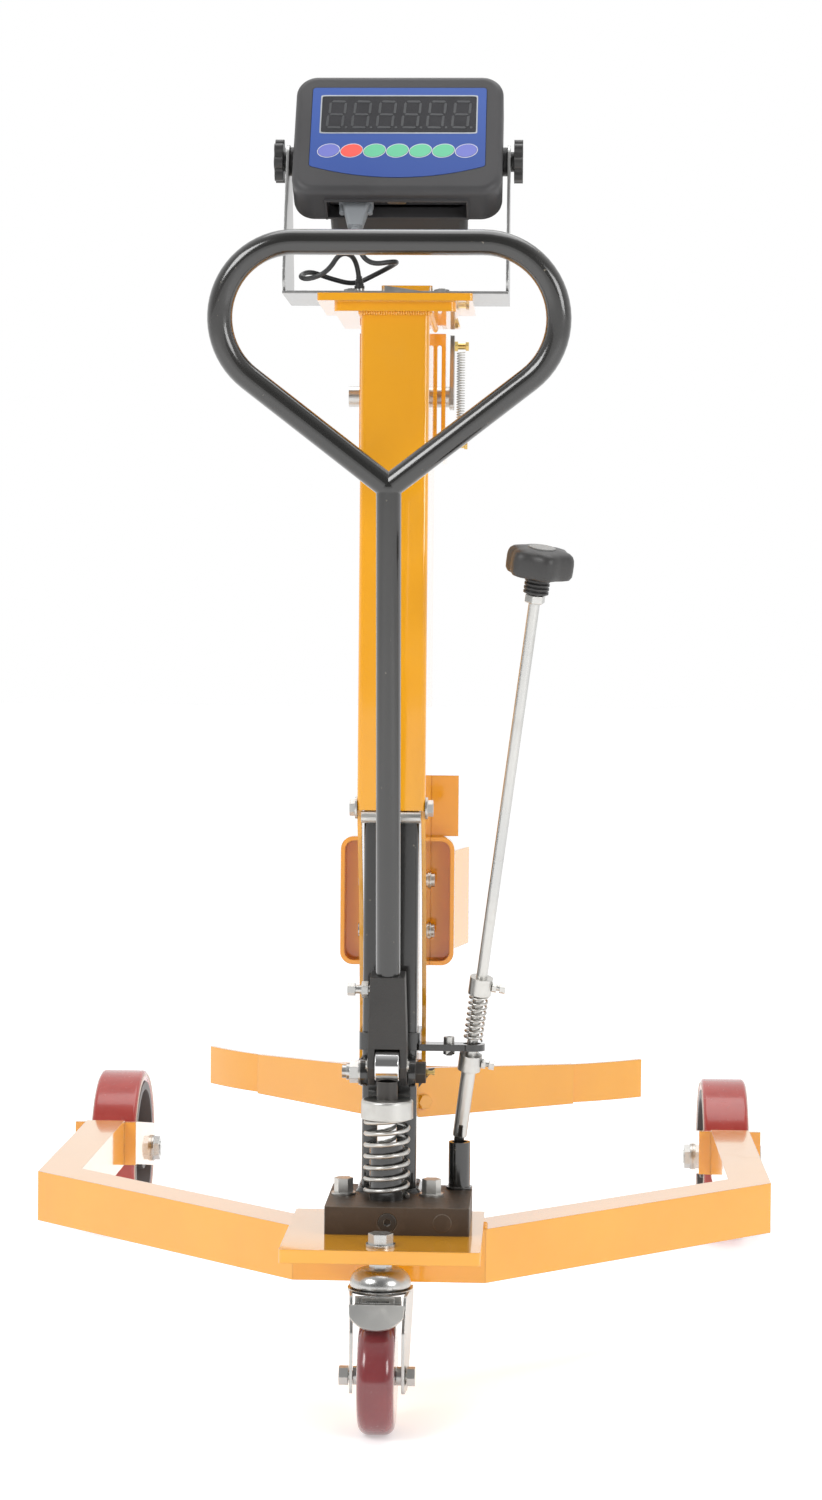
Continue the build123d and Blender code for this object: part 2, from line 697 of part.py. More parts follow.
with BuildPart() as caster_fork:
    for side in side_names:
        prism(
            Plane.XY.offset(caster_wheel_r - 14),
            [
                (side * leg_inner_rear, leg_rear_y), (side * (leg_inner_rear + fork_t), leg_rear_y),
                (side * (leg_inner_front + fork_t), leg_front_y), (side * leg_inner_front, leg_front_y),
            ],
            fork_top - caster_wheel_r + 13,
        )
    with BuildSketch(caster_axle) as leg_profile:
        with BuildLine():
            Polyline((-12, -14), (12, -14), (50, 60), (50, 71), (-2, 71), (-14, 40), (-14, -6),
                     close=True)
        make_face()
        fillet(vertices().filter_by(lambda v: v.Z < caster_wheel_r), 7)
    extrude(leg_profile.sketch, amount=40, both=True, mode=Mode.INTERSECT)
    add_disc(Plane((0, caster_y, fork_top - fork_t)), fork_plate_r, fork_t)
    add_disc(Plane((0, caster_y, fork_top)), 19, 2)
    add_disc(Plane((0, caster_y, fork_top - fork_t)), caster_bolt_r + running, 8, mode=Mode.SUBTRACT)
    add_disc(caster_axle.offset(-60), caster_axle_r, 120, mode=Mode.SUBTRACT)
caster_fork.part.label = "caster_fork"
export_step(caster_fork.part, "parts/caster_fork.step")

with BuildPart() as caster_axle_bolt:
    add_disc(caster_axle.offset(-33), caster_axle_r, 60)
    add_hex(caster_axle.offset(25.4), 15, 7)
    add_hex(caster_axle.offset(-25.4), 15, -8)

with BuildPart() as caster_spacers:
    for side in side_names:
        face = Plane(origin=(side * (caster_wheel_w / 2 + gap), caster_axle_y, caster_wheel_r),
                     z_dir=(side, 0, 0))
        add_disc(face, 8, leg_inner_rear + 0.4 - caster_wheel_w / 2 - gap, caster_axle_r)
save_group("caster_axle", caster_axle_bolt, caster_spacers)

caster_core_r = 34.0
with BuildPart() as caster_core:
    add_disc(caster_axle.offset(-caster_wheel_w / 2), caster_core_r, caster_wheel_w,
             caster_axle_r + running)

with BuildPart() as caster_tread:
    add_disc(caster_axle.offset(-caster_wheel_w / 2), caster_wheel_r, caster_wheel_w, caster_core_r)
    fillet(edges().filter_by(GeomType.CIRCLE).group_by(SortBy.RADIUS)[-1], 9)
save_group("caster_wheel", caster_core, caster_tread)

pedal_pivot_y = caster_y - 28.0
pedal_pivot_z = 109.0
pedal_w = 40.0
pedal_t = 2.5
pedal_reach = 31.0
pedal_low = pedal_pivot_z + 2
pedal_back_y = pedal_pivot_y - 4.75
pedal_back_h = 8.0
pad_bottom_z = 100.5
with BuildPart() as brake_pedal:
    with BuildSketch(Plane.XY.offset(pedal_low)):
        with Locations((0, pedal_pivot_y + 3 - (pedal_reach + 3) / 2)):
            Rectangle(pedal_w, pedal_reach + 3)
    extrude(amount=pedal_t)
    lip = Plane(origin=(0, pedal_pivot_y - 28, pedal_pivot_z + 4.5), x_dir=(1, 0, 0),
                z_dir=Vector(0, -cos(radians(35)), sin(radians(35))))
    with BuildSketch(lip) as lip_shape:
        with BuildLine():
            Line((-24, 2), (24, 2))
            Line((24, 2), (23, -9))
            ThreePointArc((23, -9), (0, -21), (-23, -9))
            Line((-23, -9), (-24, 2))
        make_face()
    extrude(lip_shape.sketch, amount=3)
    with BuildSketch(Plane.YZ) as pad_profile:
        Polygon((pedal_pivot_y - 26, pedal_low + 1), (pedal_pivot_y - 26, pad_bottom_z),
                (pedal_pivot_y - 14, pad_bottom_z + 3), (pedal_pivot_y - 14, pedal_low + 1),
                align=None)
    extrude(pad_profile.sketch, amount=7, both=True)
    # the raised bracket between the lip and the fork's crown
    with Locations((0, pedal_back_y, pedal_low + pedal_back_h / 2)):
        Box(pedal_w, pedal_t, pedal_back_h)
    with Locations((0, pedal_pivot_y - 7, pedal_pivot_z + 6)):
        Box(28, 3, 7)
    with Locations((0, pedal_pivot_y - 7, pedal_pivot_z + 6)):
        Box(20, 4, 1.5, mode=Mode.SUBTRACT)
    with BuildSketch(Plane(origin=(0, pedal_pivot_y, pedal_pivot_z), x_dir=(0, 1, 0),
                           z_dir=(1, 0, 0))) as hinge_tube:
        Circle(3.5)
    extrude(hinge_tube.sketch, amount=pedal_w / 2, both=True)
brake_pedal.part.label = "brake_pedal"
export_step(brake_pedal.part, "parts/brake_pedal.step")

# ---------------------------------------------------------------- lifting mast
cheek_back_y = mast_front_y + mast_w + 8
with BuildPart() as lift_mast:
    with BuildSketch(Plane.XY.offset(lift_bottom)):
        with Locations((0, (lift_front_y + lift_rear_y) / 2)):
            Rectangle(lift_w, lift_depth)
        with Locations((0, (lift_front_y + lift_rear_y) / 2 + lift_wall)):
            Rectangle(lift_w - 2 * lift_wall, lift_depth, mode=Mode.SUBTRACT)
    extrude(amount=lift_top - lift_bottom)
    fillet(edges().filter_by(Axis.Z).group_by(Axis.Y)[0], 5)
    prism(
        Plane.YZ.offset(-lift_w),
        [
            (lift_front_y - 1, lift_bottom - 1), (lift_front_y - 1, lift_web_bottom),
            (lift_front_y + lift_wall + 1, lift_web_bottom),
            (lift_front_y + 45, lift_web_bottom - 85), (cheek_back_y, lift_web_bottom - 185),
            (cheek_back_y, lift_bottom - 1),
        ],
        2 * lift_w,
        mode=Mode.SUBTRACT,
    )
lift_mast.part.label = "lift_mast"
export_step(lift_mast.part, "parts/lift_mast.step")

flange_t = 9.0
top_plate_t = 7.0
plate_w = 140.0
plate_d = 125.0
top_plate_y0 = lift_front_y - 10.0
deck = lift_top + flange_t + top_plate_t
top_bolt_x = 41.0
top_bolt_y = lift_front_y + 22.0
gland_x, gland_y = -34.0, caster_y + 140.0
gland_r = 5.0
ram_top = lift_top

with BuildPart() as mast_flange:
    with BuildSketch(Plane.XY.offset(lift_top)):
        with Locations((0, lift_front_y + lift_depth / 2 - 4)):
            RectangleRounded(110, lift_depth + 4, 6)
    extrude(amount=flange_t)

with BuildPart() as top_plate:
    with BuildSketch(Plane.XY.offset(lift_top + flange_t)):
        with Locations((0, top_plate_y0 + plate_d / 2)):
            RectangleRounded(plate_w, plate_d, 3)
        with Locations((-top_bolt_x, top_bolt_y), (top_bolt_x, top_bolt_y)):
            Circle(4, mode=Mode.SUBTRACT)
        with Locations((gland_x, gland_y)):
            Circle(gland_r, mode=Mode.SUBTRACT)
    extrude(amount=top_plate_t)
save_group("mast_head", mast_flange, top_plate)

with BuildPart() as ram:
    ram_low = block_top + 25
    add_disc(Plane((0, mast_mid_y, ram_low)), ram_r, ram_top - ram_low)
ram.part.label = "lift_ram"
export_step(ram.part, "parts/lift_ram.step")

pad_t = lift_w / 2 - lift_wall - mast_w / 2 - 0.3
with BuildPart() as guide_pads:
    for z in (lift_web_bottom + 60, mast_top - 60):
        with Locations(
            (-(mast_w / 2 + 0.3 + pad_t / 2), mast_mid_y, z),
            (mast_w / 2 + 0.3 + pad_t / 2, mast_mid_y, z),
        ):
            Box(pad_t, 34, 60)
guide_pads.part.label = "guide_pads"
export_step(guide_pads.part, "parts/guide_pads.step")

pin_z = lift_web_bottom - 6.0
pin_plane = Plane(origin=(0, lift_front_y + 2.5, pin_z), x_dir=(0, 1, 0), z_dir=(1, 0, 0))
with BuildPart() as cross_pin:
    add_disc(pin_plane.offset(-lift_w / 2 + lift_wall), 5.5, lift_w - 2 * lift_wall)
    for side in side_names:
        face = Plane(origin=(side * lift_w / 2, lift_front_y + 10, pin_z + 8), z_dir=(side, 0, 0))
        add_disc(face, 10, 2)
        add_hex(face.offset(2), 13, 5)

# Pans welded to the mast's cheeks, left and right, with a rim toward the operator.
pan_half_w = 54.0
pan_low, pan_high = 376.0, 498.0
pan_y = lift_rear_y - 18.0
pan_rim = 18.0
pan_t = 4.0
ear_high = 556.0
pans = []
for side in side_names:
    with BuildPart() as pan:
        width = pan_half_w - lift_w / 2
        centre_x = side * (lift_w / 2 + width / 2)
        with BuildSketch(Plane(origin=(centre_x, pan_y, (pan_low + pan_high) / 2),
                               x_dir=(1, 0, 0), z_dir=(0, 1, 0))):
            Rectangle(width, pan_high - pan_low)
            outer_side = vertices().group_by(Axis.X)[-1 if side > 0 else 0]
            fillet(outer_side, 12)
        extrude(amount=pan_rim + pan_t)
        with BuildSketch(Plane(origin=(centre_x - side * pan_t, pan_y, (pan_low + pan_high) / 2),
                               x_dir=(1, 0, 0), z_dir=(0, 1, 0))):
            Rectangle(width, pan_high - pan_low - 2 * pan_t)
            outer_side = vertices().group_by(Axis.X)[-1 if side > 0 else 0]
            fillet(outer_side, 9)
        extrude(amount=pan_rim, mode=Mode.SUBTRACT)
        if side > 0:
            back = pan_y + pan_rim
            prism(Plane.XY.offset(pan_high), [
                (lift_w / 2, back), (pan_half_w + 3, back), (pan_half_w + 3, back + pan_t),
                (lift_w / 2, back + pan_t)], ear_high - pan_high)
            prism(Plane.XY.offset(pan_low + 14), [
                (pan_half_w - pan_t, back + pan_t), (pan_half_w, back + pan_t),
                (pan_half_w + 12, back + 62), (pan_half_w + 8, back + 62)],
                pan_high - pan_low - 28)
        cut_x = side * (lift_w / 2 - 20)
        with Locations((cut_x, pan_y, (pan_low + pan_high) / 2)):
            Box(40, 4 * pan_rim, 2 * (pan_high - pan_low), mode=Mode.SUBTRACT)
    pans.append(pan)
save_group("carriage_pans", *pans)

with BuildPart() as carriage_screws:
    for side in side_names:
        for z in (410.0, 458.0):
            face = Plane(origin=(side * lift_w / 2, pan_y - 10, z), z_dir=(side, 0, 0))
            add_disc(face, 8, 1.5)
            with Locations(face.offset(1.5)):
                Cylinder(6.5, 3.5, align=(Align.CENTER, Align.CENTER, Align.MIN))

# ---------------------------------------------------------------- drum cradle
hanger_t = 6.0
cradle_pin_r = 8.0
brace_t = 6.0
brace_half_w = 158.0
brace_reach = 125.0              # arm ends, ahead of the pivot
apex_back = 14.0
boss_r = 13.0
with BuildPart() as cradle_hanger:
    with BuildSketch(Plane.XY.offset(lift_bottom)):
        with Locations((0, cradle_pivot_y)):
            Rectangle(lift_w - 2 * lift_wall, 44)
    extrude(amount=hanger_t)
    add_disc(Plane((0, cradle_pivot_y, lift_bottom)), cradle_pin_r, cradle_z - lift_bottom - 6)
    add_disc(Plane((0, cradle_pivot_y, cradle_z - gap)), 12, -5)
cradle_hanger.part.label = "cradle_hanger"
export_step(cradle_hanger.part, "parts/cradle_hanger.step")

yaw = radians(cradle_yaw)
cradle_plane = Plane(origin=(0, cradle_pivot_y, cradle_z), x_dir=(cos(yaw), sin(yaw), 0),
                     z_dir=(0, 0, 1))
belt_centre_y = brace_reach + sqrt((drum_r + belt_t) ** 2 - brace_half_w ** 2)
with BuildPart() as brace_plate:
    with BuildSketch(cradle_plane):
        with BuildLine():
            Polyline(
                (0, -apex_back - brace_t), (brace_half_w, brace_reach - brace_t - 3),
                (brace_half_w - 3, brace_reach - 3), (0, -apex_back), (-brace_half_w + 3, brace_reach - 3),
                (-brace_half_w, brace_reach - brace_t - 3), close=True,
            )
        make_face()
    extrude(amount=brace_h)
    add_disc(cradle_plane, boss_r, brace_h)
    front_view = Plane(origin=cradle_plane.origin, x_dir=cradle_plane.x_dir,
                       z_dir=cradle_plane.y_dir)
    for side in side_names:
        prism(front_view.offset(-60), [
            (side * 20, -brace_h - 1), (side * (brace_half_w + 20), -brace_h - 1),
            (side * (brace_half_w + 20), -cradle_h)], 250, mode=Mode.SUBTRACT)
    add_disc(cradle_plane, cradle_pin_r + running, brace_h, mode=Mode.SUBTRACT)

belt_half_angle = degrees(atan2(cradle_half_w, sqrt(drum_r ** 2 - cradle_half_w ** 2)))
with BuildPart() as belt_band:
    with BuildSketch(cradle_plane):
        with BuildLine():
            inside = CenterArc((0, belt_centre_y), drum_r, 270 - belt_half_angle, 2 * belt_half_angle)
            outside = CenterArc((0, belt_centre_y), drum_r + belt_t, 270 - belt_half_angle,
                                2 * belt_half_angle)
            Line(inside @ 0, outside @ 0)
            Line(inside @ 1, outside @ 1)
        make_face()
    extrude(amount=cradle_h)
belt_band.part.label = "belt_band"
export_step(belt_band.part, "parts/belt_band.step")

arm_angle = atan2(brace_reach - 3 + apex_back, brace_half_w)
with BuildPart() as cradle_bolt:
    bolt_at = cradle_plane.from_local_coords(
        Vector(26, -apex_back - brace_t + 26 * tan(arm_angle), 15))
    outward = cradle_plane.x_dir * sin(arm_angle) - cradle_plane.y_dir * cos(arm_angle)
    add_hex(Plane(bolt_at, z_dir=outward).offset(0.1), 13, 6)
save_group("brace_plate", brace_plate, cradle_bolt)

# ---------------------------------------------------------------- beak grip
grip_half_w = 41.0
grip_t = 4.0
grip_y = lift_rear_y + 0.5
grip_depth = 64.0
grip_low, grip_high = 856.0, 976.0
jaw_pin_y = lift_rear_y + 36.0
jaw_pin_r = 10.0
jaw_pin = Plane(origin=(0, jaw_pin_y, grip_z), x_dir=(0, 1, 0), z_dir=(1, 0, 0))
lever_x = grip_half_w + 3.0
lever_t = 4.0
anchor_r = 3.0
anchor_high = (jaw_pin_y + 14.0, 969.0)
anchor_low = (jaw_pin_y + 14.0, 874.0)
jaw_spring_x = lever_x + lever_t + 6.0
jaw_spring_r = 4.2

with BuildPart() as grip_housing:
    with BuildSketch(Plane.XY.offset(grip_low)):
        with Locations((0, grip_y + grip_depth / 2)):
            Rectangle(2 * grip_half_w, grip_depth)
        with Locations((0, grip_y + grip_depth / 2 + grip_t)):
            Rectangle(2 * (grip_half_w - grip_t), grip_depth, mode=Mode.SUBTRACT)
    extrude(amount=grip_high - grip_low)
    # guide slots either side of the mast
    with BuildSketch(Plane(origin=(0, grip_y, (grip_low + grip_high) / 2), x_dir=(1, 0, 0),
                           z_dir=(0, 1, 0))) as slots:
        with Locations((-35, 0), (35, 0)):
            SlotOverall(98, 4, rotation=90)
    extrude(slots.sketch, amount=grip_t, mode=Mode.SUBTRACT)
    # the fixed lower beak, under the drum's rim
    prism(
        Plane.YZ.offset(-22),
        [
            (grip_y + grip_t - 1, 862), (grip_y + grip_t - 1, 900), (grip_y + 30, 900),
            (grip_y + 78, 882), (grip_y + 82, 894), (grip_y + 88, 893), (grip_y + 84, 868),
            (grip_y + 40, 862),
        ],
        44,
    )
    add_disc(jaw_pin.offset(-grip_half_w - 1), jaw_pin_r, 2 * grip_half_w + 2, mode=Mode.SUBTRACT)
    low_hole = Plane(origin=(grip_half_w, *anchor_low), x_dir=(0, 1, 0), z_dir=(1, 0, 0))
    add_disc(low_hole.offset(1), anchor_r, -grip_t - 2, mode=Mode.SUBTRACT)
grip_housing.part.label = "grip_housing"
export_step(grip_housing.part, "parts/grip_housing.step")

with BuildPart() as beak_jaw:
    prism(
        Plane.YZ.offset(-16),
        [
            (jaw_pin_y - 12, grip_z - 12), (jaw_pin_y - 12, grip_z + 20), (jaw_pin_y + 10, grip_z + 22),
            (jaw_pin_y + 46, grip_z - 2), (jaw_pin_y + 52, grip_z - 20), (jaw_pin_y + 44, grip_z - 20),
            (jaw_pin_y + 36, grip_z - 8), (jaw_pin_y + 10, grip_z - 12),
        ],
        32,
    )
    add_disc(jaw_pin.offset(-20), jaw_pin_r, 40, mode=Mode.SUBTRACT)

# The jaw, its pin and its lever turn together in the housing's two holes.
with BuildPart() as jaw_shaft:
    add_disc(jaw_pin.offset(-grip_half_w - 12), jaw_pin_r - running, 12 + grip_half_w - 16)
    add_disc(jaw_pin.offset(-16), jaw_pin_r, 32)
    add_disc(jaw_pin.offset(16), jaw_pin_r - running, lever_x - 16)
save_group("beak_jaw", beak_jaw, jaw_shaft)

with BuildPart() as jaw_lever:
    with BuildSketch(jaw_pin.offset(lever_x)) as lever_shape:
        with BuildLine():
            Polyline((13, 60), (3, 62), (-12, 8), (-12, -12), (12, -12), (22, 44), close=True)
        make_face()
        fillet(vertices(), 4)
        with Locations((anchor_high[0] - jaw_pin_y, anchor_high[1] - grip_z)):
            Circle(anchor_r, mode=Mode.SUBTRACT)
    extrude(lever_shape.sketch, amount=lever_t)

with BuildPart() as lever_stud:
    stud = Plane(origin=(lever_x + lever_t, *anchor_high), x_dir=(0, 1, 0), z_dir=(1, 0, 0))
    add_bolt(stud, anchor_r, lever_t, 9, 3)
    add_disc(stud.offset(3), anchor_r, 9)
    add_hex(stud.offset(10.5), 8, 3)
save_group("jaw_lever", jaw_lever, lever_stud)

with BuildPart() as housing_stud:
    stud = Plane(origin=(grip_half_w, *anchor_low), x_dir=(0, 1, 0), z_dir=(1, 0, 0))
    add_bolt(stud, anchor_r, grip_t, 9, 3)
    add_disc(stud.offset(3), anchor_r, 16)
    add_hex(stud.offset(17), 8, 3)

jaw_spring_low = anchor_low[1] + anchor_r + 2.8
jaw_spring_high = anchor_high[1] - anchor_r - 2.8
with BuildPart() as jaw_spring:
    add_disc(Plane((jaw_spring_x, anchor_low[0], jaw_spring_low)), jaw_spring_r,
             jaw_spring_high - jaw_spring_low, jaw_spring_r - 1.2)
jaw_spring.part.label = "jaw_spring"
export_step(jaw_spring.part, "parts/jaw_spring.step")

# ---------------------------------------------------------------- scale bracket and load cell
bracket_y0 = caster_y + 112.0
arm_round = 14.0
stud_r = 4.0
bracket_half = bracket_w / 2
with BuildPart() as scale_bracket:
    with BuildSketch(Plane.XY.offset(deck)):
        with Locations((0, bracket_y0 + bracket_d / 2)):
            Rectangle(bracket_w, bracket_d)
        with Locations((-top_bolt_x, top_bolt_y), (top_bolt_x, top_bolt_y)):
            Circle(4, mode=Mode.SUBTRACT)
        with Locations((gland_x, gland_y)):
            Circle(gland_r, mode=Mode.SUBTRACT)
    extrude(amount=bracket_t)
    for side in side_names:
        with BuildSketch(Plane.YZ.offset(side * bracket_half)) as arm_shape:
            with BuildLine():
                Polyline(
                    (bracket_y0, deck), (bracket_y0 + bracket_d, deck), (bracket_y0 + bracket_d, deck + 22),
                    (tilt_y + arm_round, tilt_z + arm_round), (tilt_y - arm_round, tilt_z + arm_round),
                    (bracket_y0, deck + 22), close=True,
                )
            make_face()
            fillet(vertices().group_by(Axis.Z)[-1], arm_round * 0.9)
            with Locations((tilt_y, tilt_z)):
                Circle(stud_r + running, mode=Mode.SUBTRACT)
        extrude(arm_shape.sketch, amount=-side * bracket_t)
scale_bracket.part.label = "scale_bracket"
export_step(scale_bracket.part, "parts/scale_bracket.step")

with BuildPart() as top_bolts:
    for x in (-top_bolt_x, top_bolt_x):
        face = Plane((x, top_bolt_y, deck + bracket_t))
        add_bolt(face, 4, bracket_t + top_plate_t, 12, 4)
        add_disc(face.offset(4), 3, 1)

with BuildPart() as cover_block:
    with BuildSketch(Plane.XY.offset(deck + bracket_t)):
        with Locations((10, top_bolt_y + 5)):
            RectangleRounded(46, 40, 3)
    extrude(amount=6)

# The load cell hangs between the mast's head and the beak housing.
with BuildPart() as load_cell:
    with Locations((0, lift_rear_y - 22, 935)):
        Box(36, 34, 60)
    with Locations((0, lift_rear_y - 22, 935)):
        Box(36, 14, 22, mode=Mode.SUBTRACT)
load_cell.part.label = "load_cell"
export_step(load_cell.part, "parts/load_cell.step")

cord_r = 2.25
with BuildPart() as cable_gland:
    gland = Plane((gland_x, gland_y, deck + bracket_t))
    add_disc(gland, gland_r, -bracket_t - top_plate_t, cord_r)
    add_disc(gland, 7, 2.5, cord_r)
    add_disc(gland.offset(2.5), 4.5, 4, cord_r)
save_group("lift_fasteners", cross_pin, carriage_screws, top_bolts, cover_block, housing_stud,
           cable_gland)

# ---------------------------------------------------------------- indicator
back = radians(tilt_back)
face_normal = Vector(0, -cos(back), sin(back))
face_up = Vector(0, sin(back), cos(back))
head = Plane(origin=(0, tilt_y, tilt_z), x_dir=(1, 0, 0), z_dir=face_normal)
shell_wall = 2.5
panel_t = 1.5
panel_w, panel_h = 159.0, 103.0
panel_pocket = 1.2
panel_side = 90.0               # length of the panel's straight sides
panel_corner_r = 3.0
rear_w, rear_h = 126.0, 108.0
bay_half, bay_depth, bay_wall = 63.0, 25.0, 2.0
bay_top = -43.0                 # ceiling of the connector bay, along the face
bay_h = bay_top - (housing_rise - housing_h / 2)
bay_middle = bay_top - bay_h / 2
display_w, display_h = 142.0, 43.0
display_up = 30.0
key_up = -12.0
key_pitch = 20.8
key_w, key_h = 19.5, 14.0
key_gap = 0.35
key_turn = 14.0


def head_plane(forward, x=0.0, up=0.0):
    """A plane parallel to the indicator's face, so far in front of the tilt axis."""
    origin = head.origin + face_normal * forward + face_up * up + Vector(x, 0, 0)
    return Plane(origin=origin, x_dir=(1, 0, 0), z_dir=face_normal)


def panel_corners(grow):
    """The panel's straight edges, from its lower left corner round to the lower right."""
    half = panel_w / 2 + grow
    top = panel_h / 2 + grow
    low = panel_h / 2 - panel_side
    return [(-half, low), (-half, top), (half, top), (half, low)]


with BuildPart() as front_housing:
    with BuildSketch(head_plane(front_back, up=housing_rise)) as shell:
        RectangleRounded(housing_w, housing_h, 20)
    extrude(shell.sketch, amount=front_face - front_back)
    fillet(faces().sort_by(Axis(head.origin, face_normal))[-1].edges(), 7)
    with BuildSketch(head_plane(front_back - 1, up=housing_rise)) as hollow:
        RectangleRounded(housing_w - 2 * shell_wall, housing_h - 2 * shell_wall, 17)
    extrude(hollow.sketch, amount=front_face - front_back - 4, mode=Mode.SUBTRACT)
    with BuildSketch(head_plane(front_face, up=housing_rise)) as pocket:
        with BuildLine():
            Polyline(*panel_corners(0.3))
            ThreePointArc(panel_corners(0.3)[-1], (0, -panel_h / 2 - 0.3), panel_corners(0.3)[0])
        make_face()
        fillet(vertices(), panel_corner_r)
    extrude(pocket.sketch, amount=-panel_pocket, mode=Mode.SUBTRACT)
    # the bay for the connectors, open at the bottom
    with BuildSketch(head_plane(front_back, up=bay_middle)) as bay_walls:
        Rectangle(2 * bay_half + 2 * bay_wall, bay_h + 2 * bay_wall)
    extrude(bay_walls.sketch, amount=bay_depth + bay_wall)
    with BuildSketch(head_plane(front_back - 1, up=bay_middle - bay_wall)) as bay:
        Rectangle(2 * bay_half, bay_h + 2 * bay_wall)
    extrude(bay.sketch, amount=bay_depth + 1, mode=Mode.SUBTRACT)
    with BuildSketch(head_plane(front_face, up=display_up)) as window_hole:
        Rectangle(display_w - 6, display_h - 6)
    extrude(window_hole.sketch, amount=-12, mode=Mode.SUBTRACT)

with BuildPart() as rear_housing:
    with BuildSketch(head_plane(rear_back, up=6)) as box:
        RectangleRounded(rear_w, rear_h, 8)
    extrude(box.sketch, amount=front_back - rear_back - shell_wall)
    with BuildSketch(head_plane(front_back - shell_wall, up=housing_rise)) as lid:
        RectangleRounded(housing_w - 1, housing_h - 1, 19.5)
    extrude(lid.sketch, amount=shell_wall)
    with BuildSketch(head_plane(rear_back + shell_wall, up=6)) as hollow:
        RectangleRounded(rear_w - 2 * shell_wall, rear_h - 2 * shell_wall, 6)
    extrude(hollow.sketch, amount=front_back - rear_back, mode=Mode.SUBTRACT)

panel_back = front_face - panel_pocket
key_xs = [key_pitch * (i - (key_count - 1) / 2) for i in range(key_count)]
with BuildPart() as key_panel:
    with BuildSketch(head_plane(panel_back, up=housing_rise)) as sheet:
        with BuildLine():
            Polyline(*panel_corners(0))
            ThreePointArc(panel_corners(0)[-1], (0, -panel_h / 2), panel_corners(0)[0])
        make_face()
        fillet(vertices(), panel_corner_r)
    extrude(sheet.sketch, amount=panel_t)
    with BuildSketch(head_plane(panel_back, up=display_up)) as window_hole:
        Rectangle(display_w, display_h)
    extrude(window_hole.sketch, amount=panel_t, mode=Mode.SUBTRACT)
    with BuildSketch(head_plane(panel_back, up=key_up)) as key_holes:
        with Locations(*[(x, 0) for x in key_xs]):
            Ellipse(key_w / 2 + key_gap, key_h / 2 + key_gap, rotation=key_turn)
    extrude(key_holes.sketch, amount=panel_t, mode=Mode.SUBTRACT)
key_panel.part.label = "key_panel"
export_step(key_panel.part, "parts/key_panel.step")

with BuildPart() as display_window:
    with BuildSketch(head_plane(panel_back, up=display_up)) as glass:
        Rectangle(display_w, display_h)
    extrude(glass.sketch, amount=panel_t - 0.3)
display_window.part.label = "display_window"
export_step(display_window.part, "parts/display_window.step")

for i, x in enumerate(key_xs, start=1):
    with BuildPart() as key:
        with BuildSketch(head_plane(panel_back + key_travel + 0.1, x, key_up)) as dome:
            Ellipse(key_w / 2, key_h / 2, rotation=key_turn)
        extrude(dome.sketch, amount=panel_t)
    key.part.label = f"key_{i}"
    export_step(key.part, f"parts/key_{i}.step")

with BuildPart() as circuit_board:
    with BuildSketch(head_plane(2, up=housing_rise + 13)) as board:
        Rectangle(housing_w - 24, housing_h - 50)
    extrude(board.sketch, amount=1.6)
    with BuildSketch(head_plane(3.6, up=display_up)) as digits:
        Rectangle(display_w - 12, display_h - 12)
    extrude(digits.sketch, amount=14)

with BuildPart() as battery:
    with BuildSketch(head_plane(rear_back + shell_wall + 0.2, up=20)) as cell:
        Rectangle(70, 47)
    extrude(cell.sketch, amount=30)
save_group("electronics", circuit_board, battery)

# Ports in the bay's ceiling, facing along the housing downward.
port_face_up = bay_top
port_forward = 4.0
plug_port_x, serial_port_x, jack_x = -37.0, -0.5, 29.0


def port_plane(x, drop=0.0):
    origin = (head.origin + face_up * (port_face_up - drop) + face_normal * port_forward
              + Vector(x, 0, 0))
    return Plane(origin=origin, x_dir=(1, 0, 0), z_dir=-face_up)


with BuildPart() as ports:
    for x in (plug_port_x, serial_port_x):
        with BuildSketch(port_plane(x)) as flange:
            RectangleRounded(31, 12.5, 2)
        extrude(flange.sketch, amount=1)
        with BuildSketch(port_plane(x, 1)) as socket:
            RectangleRounded(17, 8.4, 2.5)
        extrude(socket.sketch, amount=4.6)
    for dx in (-12.5, 12.5):
        add_hex(port_plane(serial_port_x + dx, 1), 4.8, 4)
    add_disc(port_plane(jack_x), 4, 3, 1.5)

plug_depth = 30.0
with BuildPart() as cable_plug:
    with BuildSketch(port_plane(plug_port_x, 5.7)) as plug_front:
        RectangleRounded(31, 14, 2)
    extrude(plug_front.sketch, amount=5)
    with BuildSketch(port_plane(plug_port_x, 10.7)) as plug_root:
        RectangleRounded(25, 14, 3)
    with BuildSketch(port_plane(plug_port_x, 5.7 + plug_depth)) as plug_tail:
        RectangleRounded(13, 11, 3)
    loft([plug_root.sketch.faces()[0], plug_tail.sketch.faces()[0]])
    for dx in (-12.5, 12.5):
        add_disc(port_plane(plug_port_x + dx, 1.2), 1.4, 9.5)
        add_disc(port_plane(plug_port_x + dx, 10.7), 2.6, 9)
cable_plug.part.label = "cable_plug"
export_step(cable_plug.part, "parts/cable_plug.step")

boss_face = bracket_half - bracket_t - 0.3
with BuildPart() as tilt_bosses:
    for side in side_names:
        start = Plane(origin=(side * housing_w / 2, tilt_y, tilt_z), z_dir=(side, 0, 0))
        add_disc(start, 13, boss_face - housing_w / 2)
        add_disc(start, stud_r, bracket_half + 8.5 - housing_w / 2)
save_group("front_housing", front_housing, tilt_bosses, ports)
rear_housing.part.label = "rear_housing"
export_step(rear_housing.part, "parts/rear_housing.step")

